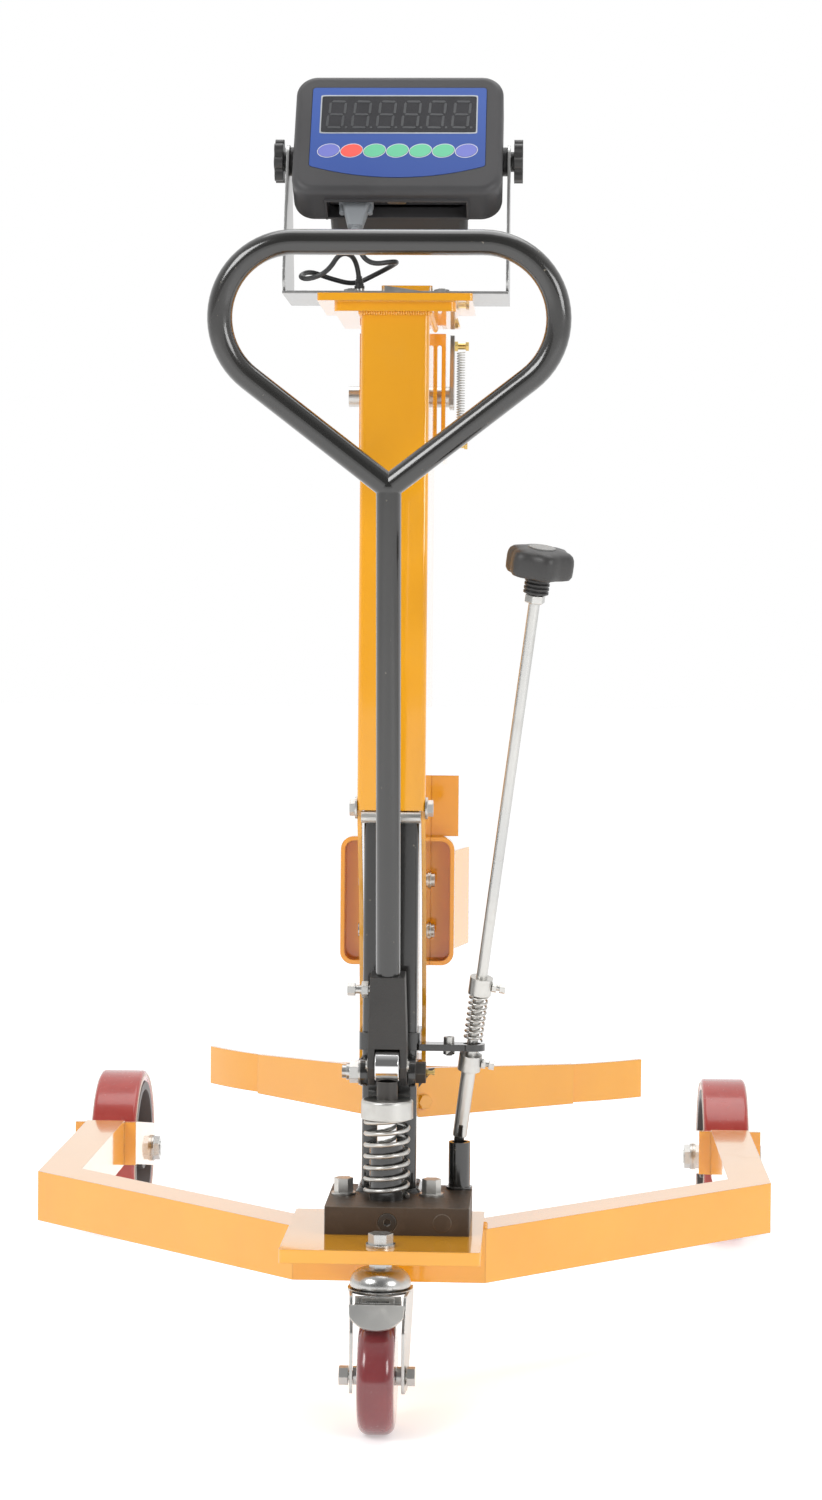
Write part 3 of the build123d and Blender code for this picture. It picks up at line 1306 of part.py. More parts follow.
tilt_knob_r = 20.0
tilt_knob_t = 11.0
for side, name in side_names.items():
    with BuildPart() as tilt_knob:
        start = Plane(origin=(side * (bracket_half + 0.3), tilt_y, tilt_z), x_dir=(0, 0, 1),
                      z_dir=(side, 0, 0))
        add_disc(start, 9, 3)
        with BuildSketch(start.offset(3)) as lobes:
            Circle(tilt_knob_r - 4)
            with PolarLocations(tilt_knob_r - 5.5, 7):
                Circle(5.5)
        extrude(lobes.sketch, amount=tilt_knob_t - 3)
        add_disc(start, stud_r + running, tilt_knob_t - 2, mode=Mode.SUBTRACT)
    tilt_knob.part.label = f"{name}_tilt_knob"
    export_step(tilt_knob.part, f"parts/{name}_tilt_knob.step")

# ---------------------------------------------------------------- signal cable
plug_end = port_plane(plug_port_x, 5.7 + plug_depth).origin
route = [
    (plug_end.X, plug_end.Y, plug_end.Z),
    (plug_port_x, plug_end.Y - 10.0 * sin(back), plug_end.Z - 10.0 * cos(back)),
    (-26.0, caster_y + 103.0, 1020.0),
    (3.0, caster_y + 116.0, 1026.0),
    (-4.0, caster_y + 143.0, 1025.0),
    (-22.0, caster_y + 159.0, 1018.0),
    (-40.0, caster_y + 165.0, 1010.0),
    (-63.0, caster_y + 158.0, 1015.0),
    (-80.0, caster_y + 143.0, 1020.0),
    (-88.0, caster_y + 121.0, 1012.0),
    (-78.0, caster_y + 103.0, 1007.0),
    (-60.0, caster_y + 97.0, 1013.0),
    (-49.0, caster_y + 110.0, 1034.0),
    (-35.0, caster_y + 138.0, 1030.0),
    (gland_x, gland_y, deck + bracket_t + 6.5),
]


def arc_radii(points):
    """Arc at each corner: 0.45 of the shorter run over the tangent of half the turn."""
    corners = [Vector(*point) for point in points]
    radii = []
    for before, at, after in zip(corners, corners[1:], corners[2:]):
        turn = radians((at - before).get_angle(after - at))
        shorter = min((at - before).length, (after - at).length)
        radii.append(0.45 * shorter / tan(turn / 2))
    return radii


cord_radii = arc_radii(route)
print("cable radii", [round(r, 1) for r in cord_radii])
with BuildPart() as signal_cable:
    with BuildLine() as cable_path:
        FilletPolyline(*route, radius=cord_radii)
    with BuildSketch(Plane(cable_path.line @ 0, z_dir=cable_path.line % 0)) as cable_section:
        Circle(cord_r)
    sweep(cable_section.sketch, path=cable_path.line)
cable_length = sum(edge.length for edge in cable_path.edges())
volume_share = signal_cable.part.volume / (pi * cord_r**2 * cable_length)
print("cable length", round(cable_length, 1), "volume share", round(volume_share, 4))
signal_cable.part.label = "signal_cable"
export_step(signal_cable.part, "parts/signal_cable.step")
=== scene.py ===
import json
import math

import bpy
from mathutils import Matrix, Vector


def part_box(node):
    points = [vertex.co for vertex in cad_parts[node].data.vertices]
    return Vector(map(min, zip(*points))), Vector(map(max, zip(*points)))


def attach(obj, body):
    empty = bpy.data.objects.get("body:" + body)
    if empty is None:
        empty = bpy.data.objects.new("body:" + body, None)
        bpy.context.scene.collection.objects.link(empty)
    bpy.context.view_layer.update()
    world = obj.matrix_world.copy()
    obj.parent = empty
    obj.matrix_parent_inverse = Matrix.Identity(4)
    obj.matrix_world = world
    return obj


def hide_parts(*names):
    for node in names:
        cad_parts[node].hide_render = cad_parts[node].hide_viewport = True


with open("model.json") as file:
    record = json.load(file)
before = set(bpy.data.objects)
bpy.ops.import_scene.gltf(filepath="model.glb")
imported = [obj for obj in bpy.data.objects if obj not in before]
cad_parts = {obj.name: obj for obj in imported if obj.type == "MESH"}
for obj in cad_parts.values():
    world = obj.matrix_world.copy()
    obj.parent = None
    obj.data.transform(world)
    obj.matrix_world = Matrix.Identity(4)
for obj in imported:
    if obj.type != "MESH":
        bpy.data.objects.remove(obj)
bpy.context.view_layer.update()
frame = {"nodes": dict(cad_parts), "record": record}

nodes = frame["nodes"]
print("frame loaded:", len(nodes), "nodes")

# ---- camera, behind the handle and level with the middle of the mast
cameraSetup = {"place": (0.137, -3.039, 0.680), "lens": 72, "sensor": 36,
               "turnLeft": 2.52, "tiltDown": 2.0, "roll": 0.5}
cameraData = bpy.data.cameras.new("camera")
cameraData.lens = cameraSetup["lens"]
cameraData.sensor_width = cameraSetup["sensor"]
camera = bpy.data.objects.new("camera", cameraData)
bpy.context.scene.collection.objects.link(camera)
turn = Matrix.Rotation(math.radians(cameraSetup["turnLeft"]), 4, "Z")
tilt = Matrix.Rotation(math.radians(90 - cameraSetup["tiltDown"]), 4, "X")
roll = Matrix.Rotation(math.radians(cameraSetup["roll"]), 4, "Z")
camera.matrix_world = Matrix.Translation(cameraSetup["place"]) @ turn @ tilt @ roll
bpy.context.scene.camera = camera
bpy.context.scene.view_settings.view_transform = "Standard"


# ---- tools for modelling
def clearPick():
    bpy.ops.object.select_all(action="DESELECT")


def pick(piece):
    clearPick()
    piece.select_set(True)
    bpy.context.view_layer.objects.active = piece


def settle(piece, place=None):
    # puts a finished piece where it goes and takes its place into the mesh
    if place is not None:
        piece.matrix_world = place
    pick(piece)
    bpy.ops.object.transform_apply(location=True, rotation=True, scale=True)
    return piece


def aim(foot, tip, spin=0.0):
    # the place of a piece made along +Z so that it stands at foot and points at tip
    direction = Vector(tip) - Vector(foot)
    turned = direction.to_track_quat("Z", "Y").to_matrix().to_4x4()
    return Matrix.Translation(foot) @ turned @ Matrix.Rotation(spin, 4, "Z")


def useModifier(piece, kind, settings):
    pick(piece)
    modifier = piece.modifiers.new(kind.lower(), kind)
    for name, value in settings.items():
        setattr(modifier, name, value)
    bpy.ops.object.modifier_apply(modifier=modifier.name)


def smooth(piece, degrees=32):
    pick(piece)
    bpy.ops.object.shade_smooth_by_angle(angle=math.radians(degrees))


def turnPiece(name, profile, sides=40, bevel=0.0, lobes=0, lobeDepth=0.0):
    # a turned piece: one disc extruded up its (radius, height) profile, with lobes if wanted
    clearPick()
    bpy.ops.mesh.primitive_circle_add(vertices=sides, radius=profile[0][0], fill_type="NGON")
    piece = bpy.context.object
    piece.name = name
    for vertex in piece.data.vertices:
        around = math.atan2(vertex.co.y, vertex.co.x)
        vertex.co *= 1 + lobeDepth * math.cos(lobes * around)
    bpy.ops.object.mode_set(mode="EDIT")
    bpy.ops.mesh.select_all(action="SELECT")
    bpy.ops.transform.translate(value=(0, 0, profile[0][1]))
    for (radius, height), (nextRadius, nextHeight) in zip(profile, profile[1:]):
        bpy.ops.mesh.extrude_region_move(
            TRANSFORM_OT_translate={"value": (0, 0, nextHeight - height)})
        if abs(nextRadius - radius) > 1e-7:
            grow = nextRadius / radius
            bpy.ops.transform.resize(value=(grow, grow, 1), center_override=(0, 0, nextHeight))
    bpy.ops.mesh.select_all(action="SELECT")
    bpy.ops.mesh.normals_make_consistent(inside=False)
    bpy.ops.object.mode_set(mode="OBJECT")
    if bevel:
        useModifier(piece, "BEVEL", {"width": bevel, "segments": 2, "limit_method": "ANGLE"})
    return piece


def copyPiece(piece, name, place):
    made = piece.copy()
    made.data = piece.data.copy()
    made.name = name
    bpy.context.scene.collection.objects.link(made)
    made.matrix_world = place
    return made


def joinPieces(pieces, name):
    clearPick()
    for piece in pieces:
        piece.select_set(True)
    bpy.context.view_layer.objects.active = pieces[0]
    bpy.ops.object.join()
    pieces[0].name = name
    return settle(pieces[0])


def dress(piece, material, body):
    piece.data.materials.clear()
    piece.data.materials.append(material)
    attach(piece, body)
    return piece


# ---- shader wiring
class Wire:
    def __init__(self, tree, socket=None):
        self.tree = tree
        self.socket = socket

    def node(self, kind, settings=None, sockets=None, output=0):
        made = self.tree.nodes.new(kind)
        for name, value in (settings or {}).items():
            if name == "stops":
                ramp = made.color_ramp.elements
                ramp[0].position, ramp[0].color = value[0]
                ramp[1].position, ramp[1].color = value[-1]
                for position, colour in value[1:-1]:
                    ramp.new(position).color = colour
            else:
                setattr(made, name, value)
        for name, value in (sockets or {}).items():
            if isinstance(value, Wire):
                self.tree.links.new(value.socket, made.inputs[name])
            else:
                made.inputs[name].default_value = value
        return Wire(self.tree, made.outputs[output])

    def maths(self, operation, first, second):
        return self.node("ShaderNodeMath", {"operation": operation}, {0: first, 1: second})

    def __add__(self, other):
        return self.maths("ADD", self, other)

    def __radd__(self, other):
        return self.maths("ADD", other, self)

    def __rsub__(self, other):
        return self.maths("SUBTRACT", other, self)

    def __mul__(self, other):
        return self.maths("MULTIPLY", self, other)

    def __rmul__(self, other):
        return self.maths("MULTIPLY", other, self)


def startFinish(name):
    material = bpy.data.materials.new(name)
    material.use_nodes = True
    tree = material.node_tree
    shader = tree.nodes["Principled BSDF"]
    return material, shader, Wire(tree)


def feed(shader, socket, value):
    if isinstance(value, Wire):
        value.tree.links.new(value.socket, shader.inputs[socket])
    else:
        shader.inputs[socket].default_value = value


def spread(wire, low, high):
    # the part of a pattern between two levels, stretched to run from 0 to 1
    return wire.node("ShaderNodeMapRange", {"clamp": True},
                     {"Value": wire, "From Min": low, "From Max": high})


def objectPoint(wire, stretch=(1, 1, 1)):
    point = wire.node("ShaderNodeTexCoord", output="Object")
    return wire.node("ShaderNodeMapping", {}, {"Vector": point, "Scale": stretch})


def noise(wire, point, scale, detail=4.0, roughness=0.5):
    return wire.node("ShaderNodeTexNoise", {},
                     {"Vector": point, "Scale": scale, "Detail": detail, "Roughness": roughness})


def mixColour(wire, share, first, second):
    return wire.node("ShaderNodeMix", {"data_type": "RGBA"},
                     {0: share, 6: first, 7: second}, output=2)


def roundedNormal(wire, radius):
    # the surface's normal, turned along sharp edges as if they were rounded
    return wire.node("ShaderNodeBevel", {"samples": 4}, {"Radius": radius})


def edgeShare(wire, rounded):
    # 1 along sharp edges and corners, 0 on the flats
    flat = wire.node("ShaderNodeNewGeometry", output="Normal")
    same = wire.node("ShaderNodeVectorMath", {"operation": "DOT_PRODUCT"},
                     {0: rounded, 1: flat}, output="Value")
    return 1.0 - same


def makeFinish(name, look):
    # two close colours in soft patches, specks, worn edges, a drifting roughness and a fine grain
    material, shader, wire = startFinish(name)
    point = objectPoint(wire, look.get("stretch", (1, 1, 1)))
    patches = spread(noise(wire, point, look.get("patchScale", 9.0)), 0.35, 0.65)
    colour = mixColour(wire, patches, (*look["colour"], 1), (*look["second"], 1))
    grain = noise(wire, point, look["grainScale"], look.get("grainDetail", 6.0), 0.6)
    rounded = roundedNormal(wire, look.get("edge", 0.0012))
    rough = look["roughness"] + look.get("roughnessSpread", 0.08) * patches
    if "speck" in look:
        speck = look["speck"]
        spots = spread(noise(wire, point, speck["scale"], 2.0), speck["level"],
                       speck["level"] + 0.03)
        colour = mixColour(wire, spots * speck["share"], colour, (*speck["colour"], 1))
        rough = rough + spots * speck["rougher"]
    if "worn" in look:
        worn = look["worn"]
        chips = 0.4 + 1.4 * noise(wire, point, worn["scale"], 5.0)
        broken = spread(edgeShare(wire, rounded) * chips, 0.03, 0.22)
        colour = mixColour(wire, broken * worn["share"], colour, (*worn["colour"], 1))
        rough = rough + broken * worn["rougher"]
    if "dust" in look:
        dust = look["dust"]
        smears = spread(noise(wire, point, dust["scale"], 7.0, 0.65), 0.52, 0.75)
        colour = mixColour(wire, smears * dust["share"], colour, (*dust["colour"], 1))
        rough = rough + smears * dust["rougher"]
    feed(shader, "Base Color", colour)
    feed(shader, "Roughness", rough)
    feed(shader, "Metallic", look.get("metallic", 0.0))
    feed(shader, "Coat Weight", look.get("coat", 0.0))
    feed(shader, "Coat Roughness", look.get("coatRoughness", 0.05))
    feed(shader, "Specular IOR Level", look.get("specular", 0.5))
    bump = wire.node("ShaderNodeBump", {}, {
        "Strength": look.get("grainStrength", 0.25), "Distance": look["grainDepth"],
        "Height": grain, "Normal": rounded})
    feed(shader, "Normal", bump)
    return material


finishes = {
    "yellow_paint": {"colour": (0.80, 0.345, 0.010), "second": (0.84, 0.375, 0.013),
                     "roughness": 0.10, "roughnessSpread": 0.05, "coat": 1.0, "coatRoughness": 0.04,
                     "grainScale": 260.0, "grainDepth": 0.0004, "grainStrength": 0.10,
                     "grainDetail": 2.0, "edge": 0.0016,
                     "dust": {"scale": 22.0, "share": 0.10, "colour": (0.72, 0.36, 0.05),
                              "rougher": 0.10}},
    "black_paint": {"colour": (0.012, 0.012, 0.011), "second": (0.019, 0.018, 0.017),
                    "roughness": 0.16, "coat": 0.8, "coatRoughness": 0.08,
                    "grainScale": 320.0, "grainDepth": 0.0004, "grainStrength": 0.12,
                    "worn": {"scale": 60.0, "share": 0.5, "colour": (0.22, 0.20, 0.18),
                             "rougher": 0.15},
                    "speck": {"scale": 260.0, "level": 0.745, "share": 0.6,
                              "colour": (0.30, 0.26, 0.20), "rougher": 0.2}},
    "pump_block": {"colour": (0.050, 0.036, 0.026), "second": (0.075, 0.052, 0.035),
                   "roughness": 0.34, "roughnessSpread": 0.16, "grainScale": 420.0,
                   "grainDepth": 0.0005, "grainStrength": 0.35, "metallic": 0.35,
                   "worn": {"scale": 50.0, "share": 0.6, "colour": (0.30, 0.25, 0.2),
                            "rougher": 0.0},
                   "dust": {"scale": 45.0, "share": 0.35, "colour": (0.14, 0.10, 0.07),
                            "rougher": 0.15}},
    "zinc": {"colour": (0.50, 0.50, 0.49), "second": (0.60, 0.59, 0.56), "metallic": 1.0,
             "roughness": 0.24, "roughnessSpread": 0.14, "grainScale": 500.0,
             "grainDepth": 0.0003, "grainStrength": 0.15, "edge": 0.0007,
             "dust": {"scale": 60.0, "share": 0.25, "colour": (0.36, 0.34, 0.31),
                      "rougher": 0.12}},
    "polished_steel": {"colour": (0.72, 0.72, 0.72), "second": (0.78, 0.78, 0.77),
                       "metallic": 1.0, "roughness": 0.07, "roughnessSpread": 0.06,
                       "grainScale": 700.0, "grainDepth": 0.0002, "grainStrength": 0.08,
                       "stretch": (1, 1, 12), "edge": 0.0006},
    "stainless": {"colour": (0.46, 0.46, 0.46), "second": (0.54, 0.54, 0.53), "metallic": 1.0,
                  "roughness": 0.26, "roughnessSpread": 0.10, "grainScale": 420.0,
                  "grainDepth": 0.0003, "grainStrength": 0.3, "stretch": (0.05, 1, 1),
                  "edge": 0.0010},
    "dark_steel": {"colour": (0.045, 0.043, 0.042), "second": (0.075, 0.07, 0.065),
                   "metallic": 0.7, "roughness": 0.32, "roughnessSpread": 0.15,
                   "grainScale": 480.0, "grainDepth": 0.0004, "edge": 0.0007,
                   "worn": {"scale": 90.0, "share": 0.7, "colour": (0.4, 0.37, 0.33),
                            "rougher": -0.05}},
    "cast_black": {"colour": (0.024, 0.023, 0.022), "second": (0.038, 0.036, 0.034),
                   "roughness": 0.42, "roughnessSpread": 0.12, "grainScale": 620.0,
                   "grainDepth": 0.0010, "grainStrength": 0.6, "edge": 0.0014,
                   "worn": {"scale": 70.0, "share": 0.35, "colour": (0.2, 0.18, 0.16),
                            "rougher": 0.0}},
    "wheel_core": {"colour": (0.050, 0.038, 0.036), "second": (0.080, 0.060, 0.055),
                   "roughness": 0.36, "grainScale": 420.0, "grainDepth": 0.0006,
                   "worn": {"scale": 60.0, "share": 0.4, "colour": (0.25, 0.2, 0.18),
                            "rougher": 0.0}},
    "black_plastic": {"colour": (0.028, 0.027, 0.027), "second": (0.038, 0.037, 0.036),
                      "roughness": 0.34, "roughnessSpread": 0.10, "grainScale": 900.0,
                      "grainDepth": 0.0004, "grainStrength": 0.3, "edge": 0.0018,
                      "dust": {"scale": 30.0, "share": 0.15, "colour": (0.09, 0.085, 0.08),
                               "rougher": 0.1}},
    "housing_plastic": {"colour": (0.036, 0.035, 0.037), "second": (0.045, 0.044, 0.046),
                        "roughness": 0.42, "roughnessSpread": 0.08, "grainScale": 1400.0,
                        "grainDepth": 0.0004, "grainStrength": 0.35, "edge": 0.0014,
                        "dust": {"scale": 26.0, "share": 0.12, "colour": (0.08, 0.08, 0.08),
                                 "rougher": 0.1}},
    "key_violet": {"colour": (0.150, 0.165, 0.50), "second": (0.165, 0.185, 0.53),
                   "roughness": 0.28, "grainScale": 900.0, "grainDepth": 0.0002, "edge": 0.0006},
    "key_red": {"colour": (0.80, 0.095, 0.075), "second": (0.84, 0.11, 0.09),
                "roughness": 0.28, "grainScale": 900.0, "grainDepth": 0.0002, "edge": 0.0006},
    "key_green": {"colour": (0.12, 0.48, 0.28), "second": (0.14, 0.52, 0.31),
                  "roughness": 0.28, "grainScale": 900.0, "grainDepth": 0.0002, "edge": 0.0006},
    "plug_grey": {"colour": (0.23, 0.245, 0.26), "second": (0.27, 0.285, 0.30),
                  "roughness": 0.42, "grainScale": 900.0, "grainDepth": 0.0004},
    "bearing_nylon": {"colour": (0.62, 0.60, 0.52), "second": (0.68, 0.66, 0.58),
                      "roughness": 0.4, "grainScale": 500.0, "grainDepth": 0.0003},
    "sealed_electronics": {"colour": (0.02, 0.16, 0.06), "second": (0.03, 0.20, 0.08),
                           "roughness": 0.4, "grainScale": 500.0, "grainDepth": 0.0003},
    "cell_aluminium": {"colour": (0.62, 0.62, 0.63), "second": (0.70, 0.70, 0.70),
                       "metallic": 1.0, "roughness": 0.3, "grainScale": 420.0,
                       "grainDepth": 0.0003, "stretch": (1, 1, 0.06)},
    "weld": {"colour": (0.80, 0.36, 0.022), "second": (0.90, 0.42, 0.026), "roughness": 0.14,
             "coat": 1.0, "grainScale": 500.0, "grainDepth": 0.0006, "grainStrength": 0.4,
             "edge": 0.0006},
    "brass": {"colour": (0.62, 0.44, 0.14), "second": (0.70, 0.52, 0.2), "metallic": 1.0,
              "roughness": 0.25, "grainScale": 420.0, "grainDepth": 0.0003, "edge": 0.0006},
    "print_white": {"colour": (0.75, 0.76, 0.78), "second": (0.8, 0.8, 0.82), "roughness": 0.4,
                    "grainScale": 900.0, "grainDepth": 0.0001, "edge": 0.0002},
    "knob_cap": {"colour": (0.26, 0.26, 0.25), "second": (0.32, 0.32, 0.31), "roughness": 0.35,
                 "grainScale": 700.0, "grainDepth": 0.0002, "edge": 0.0004},
    # pale rings along the tyres' side edges: a painted highlight, not a colour the tyre has
    "painted_tyre_highlight": {"colour": (0.60, 0.50, 0.42), "second": (0.66, 0.56, 0.47),
                   "roughness": 0.35, "grainScale": 600.0, "grainDepth": 0.0002,
                   "edge": 0.0004},
    "segment": {"colour": (0.050, 0.052, 0.056), "second": (0.060, 0.062, 0.066),
                "roughness": 0.3, "grainScale": 900.0, "grainDepth": 0.0001, "edge": 0.0002},
    "frame_silver": {"colour": (0.42, 0.44, 0.46), "second": (0.48, 0.50, 0.52),
                     "metallic": 0.6, "roughness": 0.3, "grainScale": 900.0,
                     "grainDepth": 0.0001, "edge": 0.0003},
}
materials = {name: makeFinish(name, look) for name, look in finishes.items()}


def makeTyre(name, look):
    # a cast polyurethane tyre: deep red, slightly clear, with scuffs round its running face
    material, shader, wire = startFinish(name)
    point = objectPoint(wire)
    cloud = spread(noise(wire, point, 30.0), 0.3, 0.7)
    scuff = spread(noise(wire, point, 240.0, 8.0, 0.7), 0.58, 0.72)
    rounded = roundedNormal(wire, 0.0015)
    colour = mixColour(wire, cloud, (*look["deep"], 1), (*look["light"], 1))
    colour = mixColour(wire, scuff * 0.25, colour, (*look["scuff"], 1))
    feed(shader, "Base Color", colour)
    feed(shader, "Roughness", look["roughness"] + 0.10 * cloud + 0.12 * scuff)
    feed(shader, "Subsurface Weight", 0.18)
    feed(shader, "Subsurface Radius", (0.02, 0.004, 0.003))
    feed(shader, "Subsurface Scale", 0.5)
    feed(shader, "Coat Weight", 0.7)
    feed(shader, "Coat Roughness", 0.12)
    feed(shader, "Normal", wire.node("ShaderNodeBump", {}, {
        "Strength": 0.25, "Distance": 0.0004, "Height": scuff, "Normal": rounded}))
    return material


materials["red_tyre"] = makeTyre("red_tyre", {
    "deep": (0.34, 0.030, 0.022), "light": (0.42, 0.045, 0.032), "scuff": (0.28, 0.11, 0.09),
    "roughness": 0.16})
materials["caster_tyre"] = makeTyre("caster_tyre", {
    "deep": (0.17, 0.030, 0.034), "light": (0.22, 0.040, 0.044), "scuff": (0.20, 0.10, 0.10),
    "roughness": 0.14})


def makeCableFinish():
    # black rubber, matt and a little cloudy
    material, shader, wire = startFinish("cable_rubber")
    point = objectPoint(wire)
    cloud = spread(noise(wire, point, 60.0), 0.35, 0.65)
    feed(shader, "Base Color",
         mixColour(wire, cloud, (0.018, 0.018, 0.019, 1), (0.030, 0.030, 0.031, 1)))
    feed(shader, "Roughness", 0.32 + 0.12 * cloud)
    feed(shader, "Normal", wire.node("ShaderNodeBump", {}, {
        "Strength": 0.2, "Distance": 0.0003, "Height": noise(wire, point, 1200.0)}))
    return material


materials["cable_rubber"] = makeCableFinish()


def makePanelFinish():
    # printed film: blue with a paler band towards the display
    material, shader, wire = startFinish("panel_blue")
    point = objectPoint(wire)
    height = wire.node("ShaderNodeSeparateXYZ", {}, {"Vector": point}, output=2)
    band = spread(height, 1.085, 1.175)
    film = spread(noise(wire, point, 30.0, 2.0), 0.3, 0.7)
    colour = mixColour(wire, band, (0.022, 0.062, 0.27, 1), (0.032, 0.085, 0.33, 1))
    colour = mixColour(wire, film * 0.03, colour, (0.05, 0.11, 0.34, 1))
    feed(shader, "Base Color", colour)
    feed(shader, "Roughness", 0.30 + 0.04 * film)
    feed(shader, "Normal", wire.node("ShaderNodeBump", {}, {
        "Strength": 0.05, "Distance": 0.0001, "Height": noise(wire, point, 1600.0)}))
    return material


materials["panel_blue"] = makePanelFinish()


def makeDisplayFinish():
    # a glossy, nearly black window
    material, shader, wire = startFinish("display")
    point = objectPoint(wire)
    film = spread(noise(wire, point, 40.0), 0.3, 0.7)
    feed(shader, "Base Color",
         mixColour(wire, film, (0.012, 0.012, 0.015, 1), (0.018, 0.018, 0.022, 1)))
    feed(shader, "Roughness", 0.08 + 0.05 * film)
    feed(shader, "Coat Weight", 1.0)
    return material


materials["display"] = makeDisplayFinish()
print("finishes made:", len(materials))

# ---- finishes on the CAD nodes that stay
slotOfNode = {row["node"]: row["material_slot"] for row in frame["record"]["subparts"]}
finishOfNode = {"caster_wheel": "caster_tyre"}
for nodeName, node in nodes.items():
    finish = finishOfNode.get(nodeName, slotOfNode[nodeName])
    node.data.materials.clear()
    node.data.materials.append(materials[finish])


def paintFaces(nodeName, finish, isPart):
    # another finish on the faces of a node that belong to one of its small pieces
    mesh = nodes[nodeName].data
    if materials[finish] not in list(mesh.materials):
        mesh.materials.append(materials[finish])
    finishIndex = list(mesh.materials).index(materials[finish])
    for polygon in mesh.polygons:
        if isPart(polygon.center):
            polygon.material_index = finishIndex


# the boxes, from low to high corner, that hold small pieces with a finish of their own
far = 2.0
smallPieces = [
    {"node": "chassis_fasteners", "finish": "zinc",
     "low": (-0.065, -0.40, 0.1805), "high": (-0.025, far, 0.21)},
    {"node": "chassis_fasteners", "finish": "zinc",
     "low": (0.025, -0.40, 0.1805), "high": (0.065, far, 0.21)},
    {"node": "chassis_fasteners", "finish": "zinc",
     "low": (-far, -far, 0.309), "high": (far, far, far)},
    {"node": "chassis_fasteners", "finish": "brass",
     "low": (0.03, -far, 0.27), "high": (far, -0.31, 0.302)},
    {"node": "axle_bolts", "finish": "dark_steel",
     "low": (0, -far, 0.25), "high": (far, far, far)},
    {"node": "pump_piston", "finish": "polished_steel",
     "low": (-far, -far, -far), "high": (far, far, 0.262)},
    {"node": "brace_plate", "finish": "dark_steel",
     "low": (-0.012, -0.215, -far), "high": (0.012, -0.191, far)},
    {"node": "lift_fasteners", "finish": "yellow_paint",
     "low": (-0.0135, -far, 1.0011), "high": (0.0335, far, 1.0072)},
    {"node": "lift_fasteners", "finish": "brass",
     "low": (0.042, -far, 0.86), "high": (far, far, 0.98)},
    {"node": "jaw_lever", "finish": "brass",
     "low": (0.0485, -far, -far), "high": (far, far, far)},
    {"node": "release_rod", "finish": "black_paint",
     "low": (-far, -far, -far), "high": (far, far, 0.2415)},
]
for small in smallPieces:
    low, high = small["low"], small["high"]
    paintFaces(small["node"], small["finish"],
               lambda at: all(low[axis] < at[axis] < high[axis] for axis in range(3)))

# the indicator's face leans back from its tilt axis, and its sockets are found along it
face = {"tiltAxis": Vector((0, -0.280, 1.122)), "back": math.radians(30), "panelFront": 0.0303,
        "displayUp": 0.030, "keyUp": -0.012, "keyPitch": 0.0208}
faceNormal = Vector((0, -math.cos(face["back"]), math.sin(face["back"])))
faceUp = Vector((0, math.sin(face["back"]), math.cos(face["back"])))
ports = {"across": (-0.037, -0.0005), "halfWidth": 0.0158, "up": (-0.050, -0.0431),
         "forward": (-0.003, 0.011)}


def isPortShell(point):
    away = point - face["tiltAxis"]
    nearPort = min(abs(away.x - across) for across in ports["across"]) < ports["halfWidth"]
    return (nearPort and ports["up"][0] < away.dot(faceUp) < ports["up"][1]
            and ports["forward"][0] < away.dot(faceNormal) < ports["forward"][1])


paintFaces("front_housing", "zinc", isPortShell)
print("nodes dressed")

# ---- signal cable: out of its plug, round once and into the gland
cable = {"diameter": 0.0045, "length": 0.321,
         "route": [(-0.037, -0.322814, 1.055844), (-0.037, -0.327814, 1.047184),
                   (-0.026, -0.340, 1.020), (0.003, -0.327, 1.026), (-0.004, -0.300, 1.025),
                   (-0.022, -0.284, 1.018), (-0.040, -0.278, 1.010), (-0.063, -0.285, 1.015),
                   (-0.080, -0.300, 1.020), (-0.088, -0.322, 1.012), (-0.078, -0.340, 1.007),
                   (-0.060, -0.346, 1.013), (-0.049, -0.333, 1.034), (-0.035, -0.305, 1.030),
                   (-0.034, -0.303, 1.005)]}
cableCurve = bpy.data.curves.new("signalCable", "CURVE")
cableCurve.dimensions = "3D"
cableLine = cableCurve.splines.new("NURBS")
cableLine.points.add(len(cable["route"]) - 1)
for at, (x, y, z) in zip(cableLine.points, cable["route"]):
    at.co = (x, y, z, 1)
cableLine.order_u = 3
cableLine.use_endpoint_u = True
cableLine.resolution_u = 12
cableCurve.bevel_depth = cable["diameter"] / 2
cableCurve.bevel_resolution = 6
cableCurve.use_fill_caps = True
signalCable = bpy.data.objects.new("signalCable", cableCurve)
bpy.context.scene.collection.objects.link(signalCable)
dress(signalCable, materials["cable_rubber"], "lift")
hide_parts("signal_cable")


reliefSize = {"collar": 0.0024, "firstRib": 0.0018, "taper": 0.0004, "ribs": 4, "pitch": 0.0022,
              "groove": 0.0005}


def strainRelief(name, exitPoint, towards, body, material):
    # ribbed rubber that narrows from where the cable comes out down to the cable itself
    thin = cable["diameter"] / 2
    profile = [(thin + reliefSize["collar"], -0.0015), (thin + reliefSize["collar"], 0.0012)]
    for rib in range(reliefSize["ribs"]):
        wide = thin + reliefSize["firstRib"] - rib * reliefSize["taper"]
        narrow = wide - reliefSize["groove"]
        low = 0.0014 + rib * reliefSize["pitch"]
        profile += [(narrow, low), (wide, low + 0.0004), (wide, low + 0.0014),
                    (narrow, low + 0.0018)]
    relief = turnPiece(name, profile, sides=28)
    settle(relief, aim(exitPoint, towards))
    smooth(relief, 30)
    return dress(relief, material, body)


strainRelief("plugRelief", cable["route"][0], cable["route"][1], "indicator",
             materials["plug_grey"])
strainRelief("glandRelief", cable["route"][-1], cable["route"][-2], "lift",
             materials["black_plastic"])
print("cable laid")


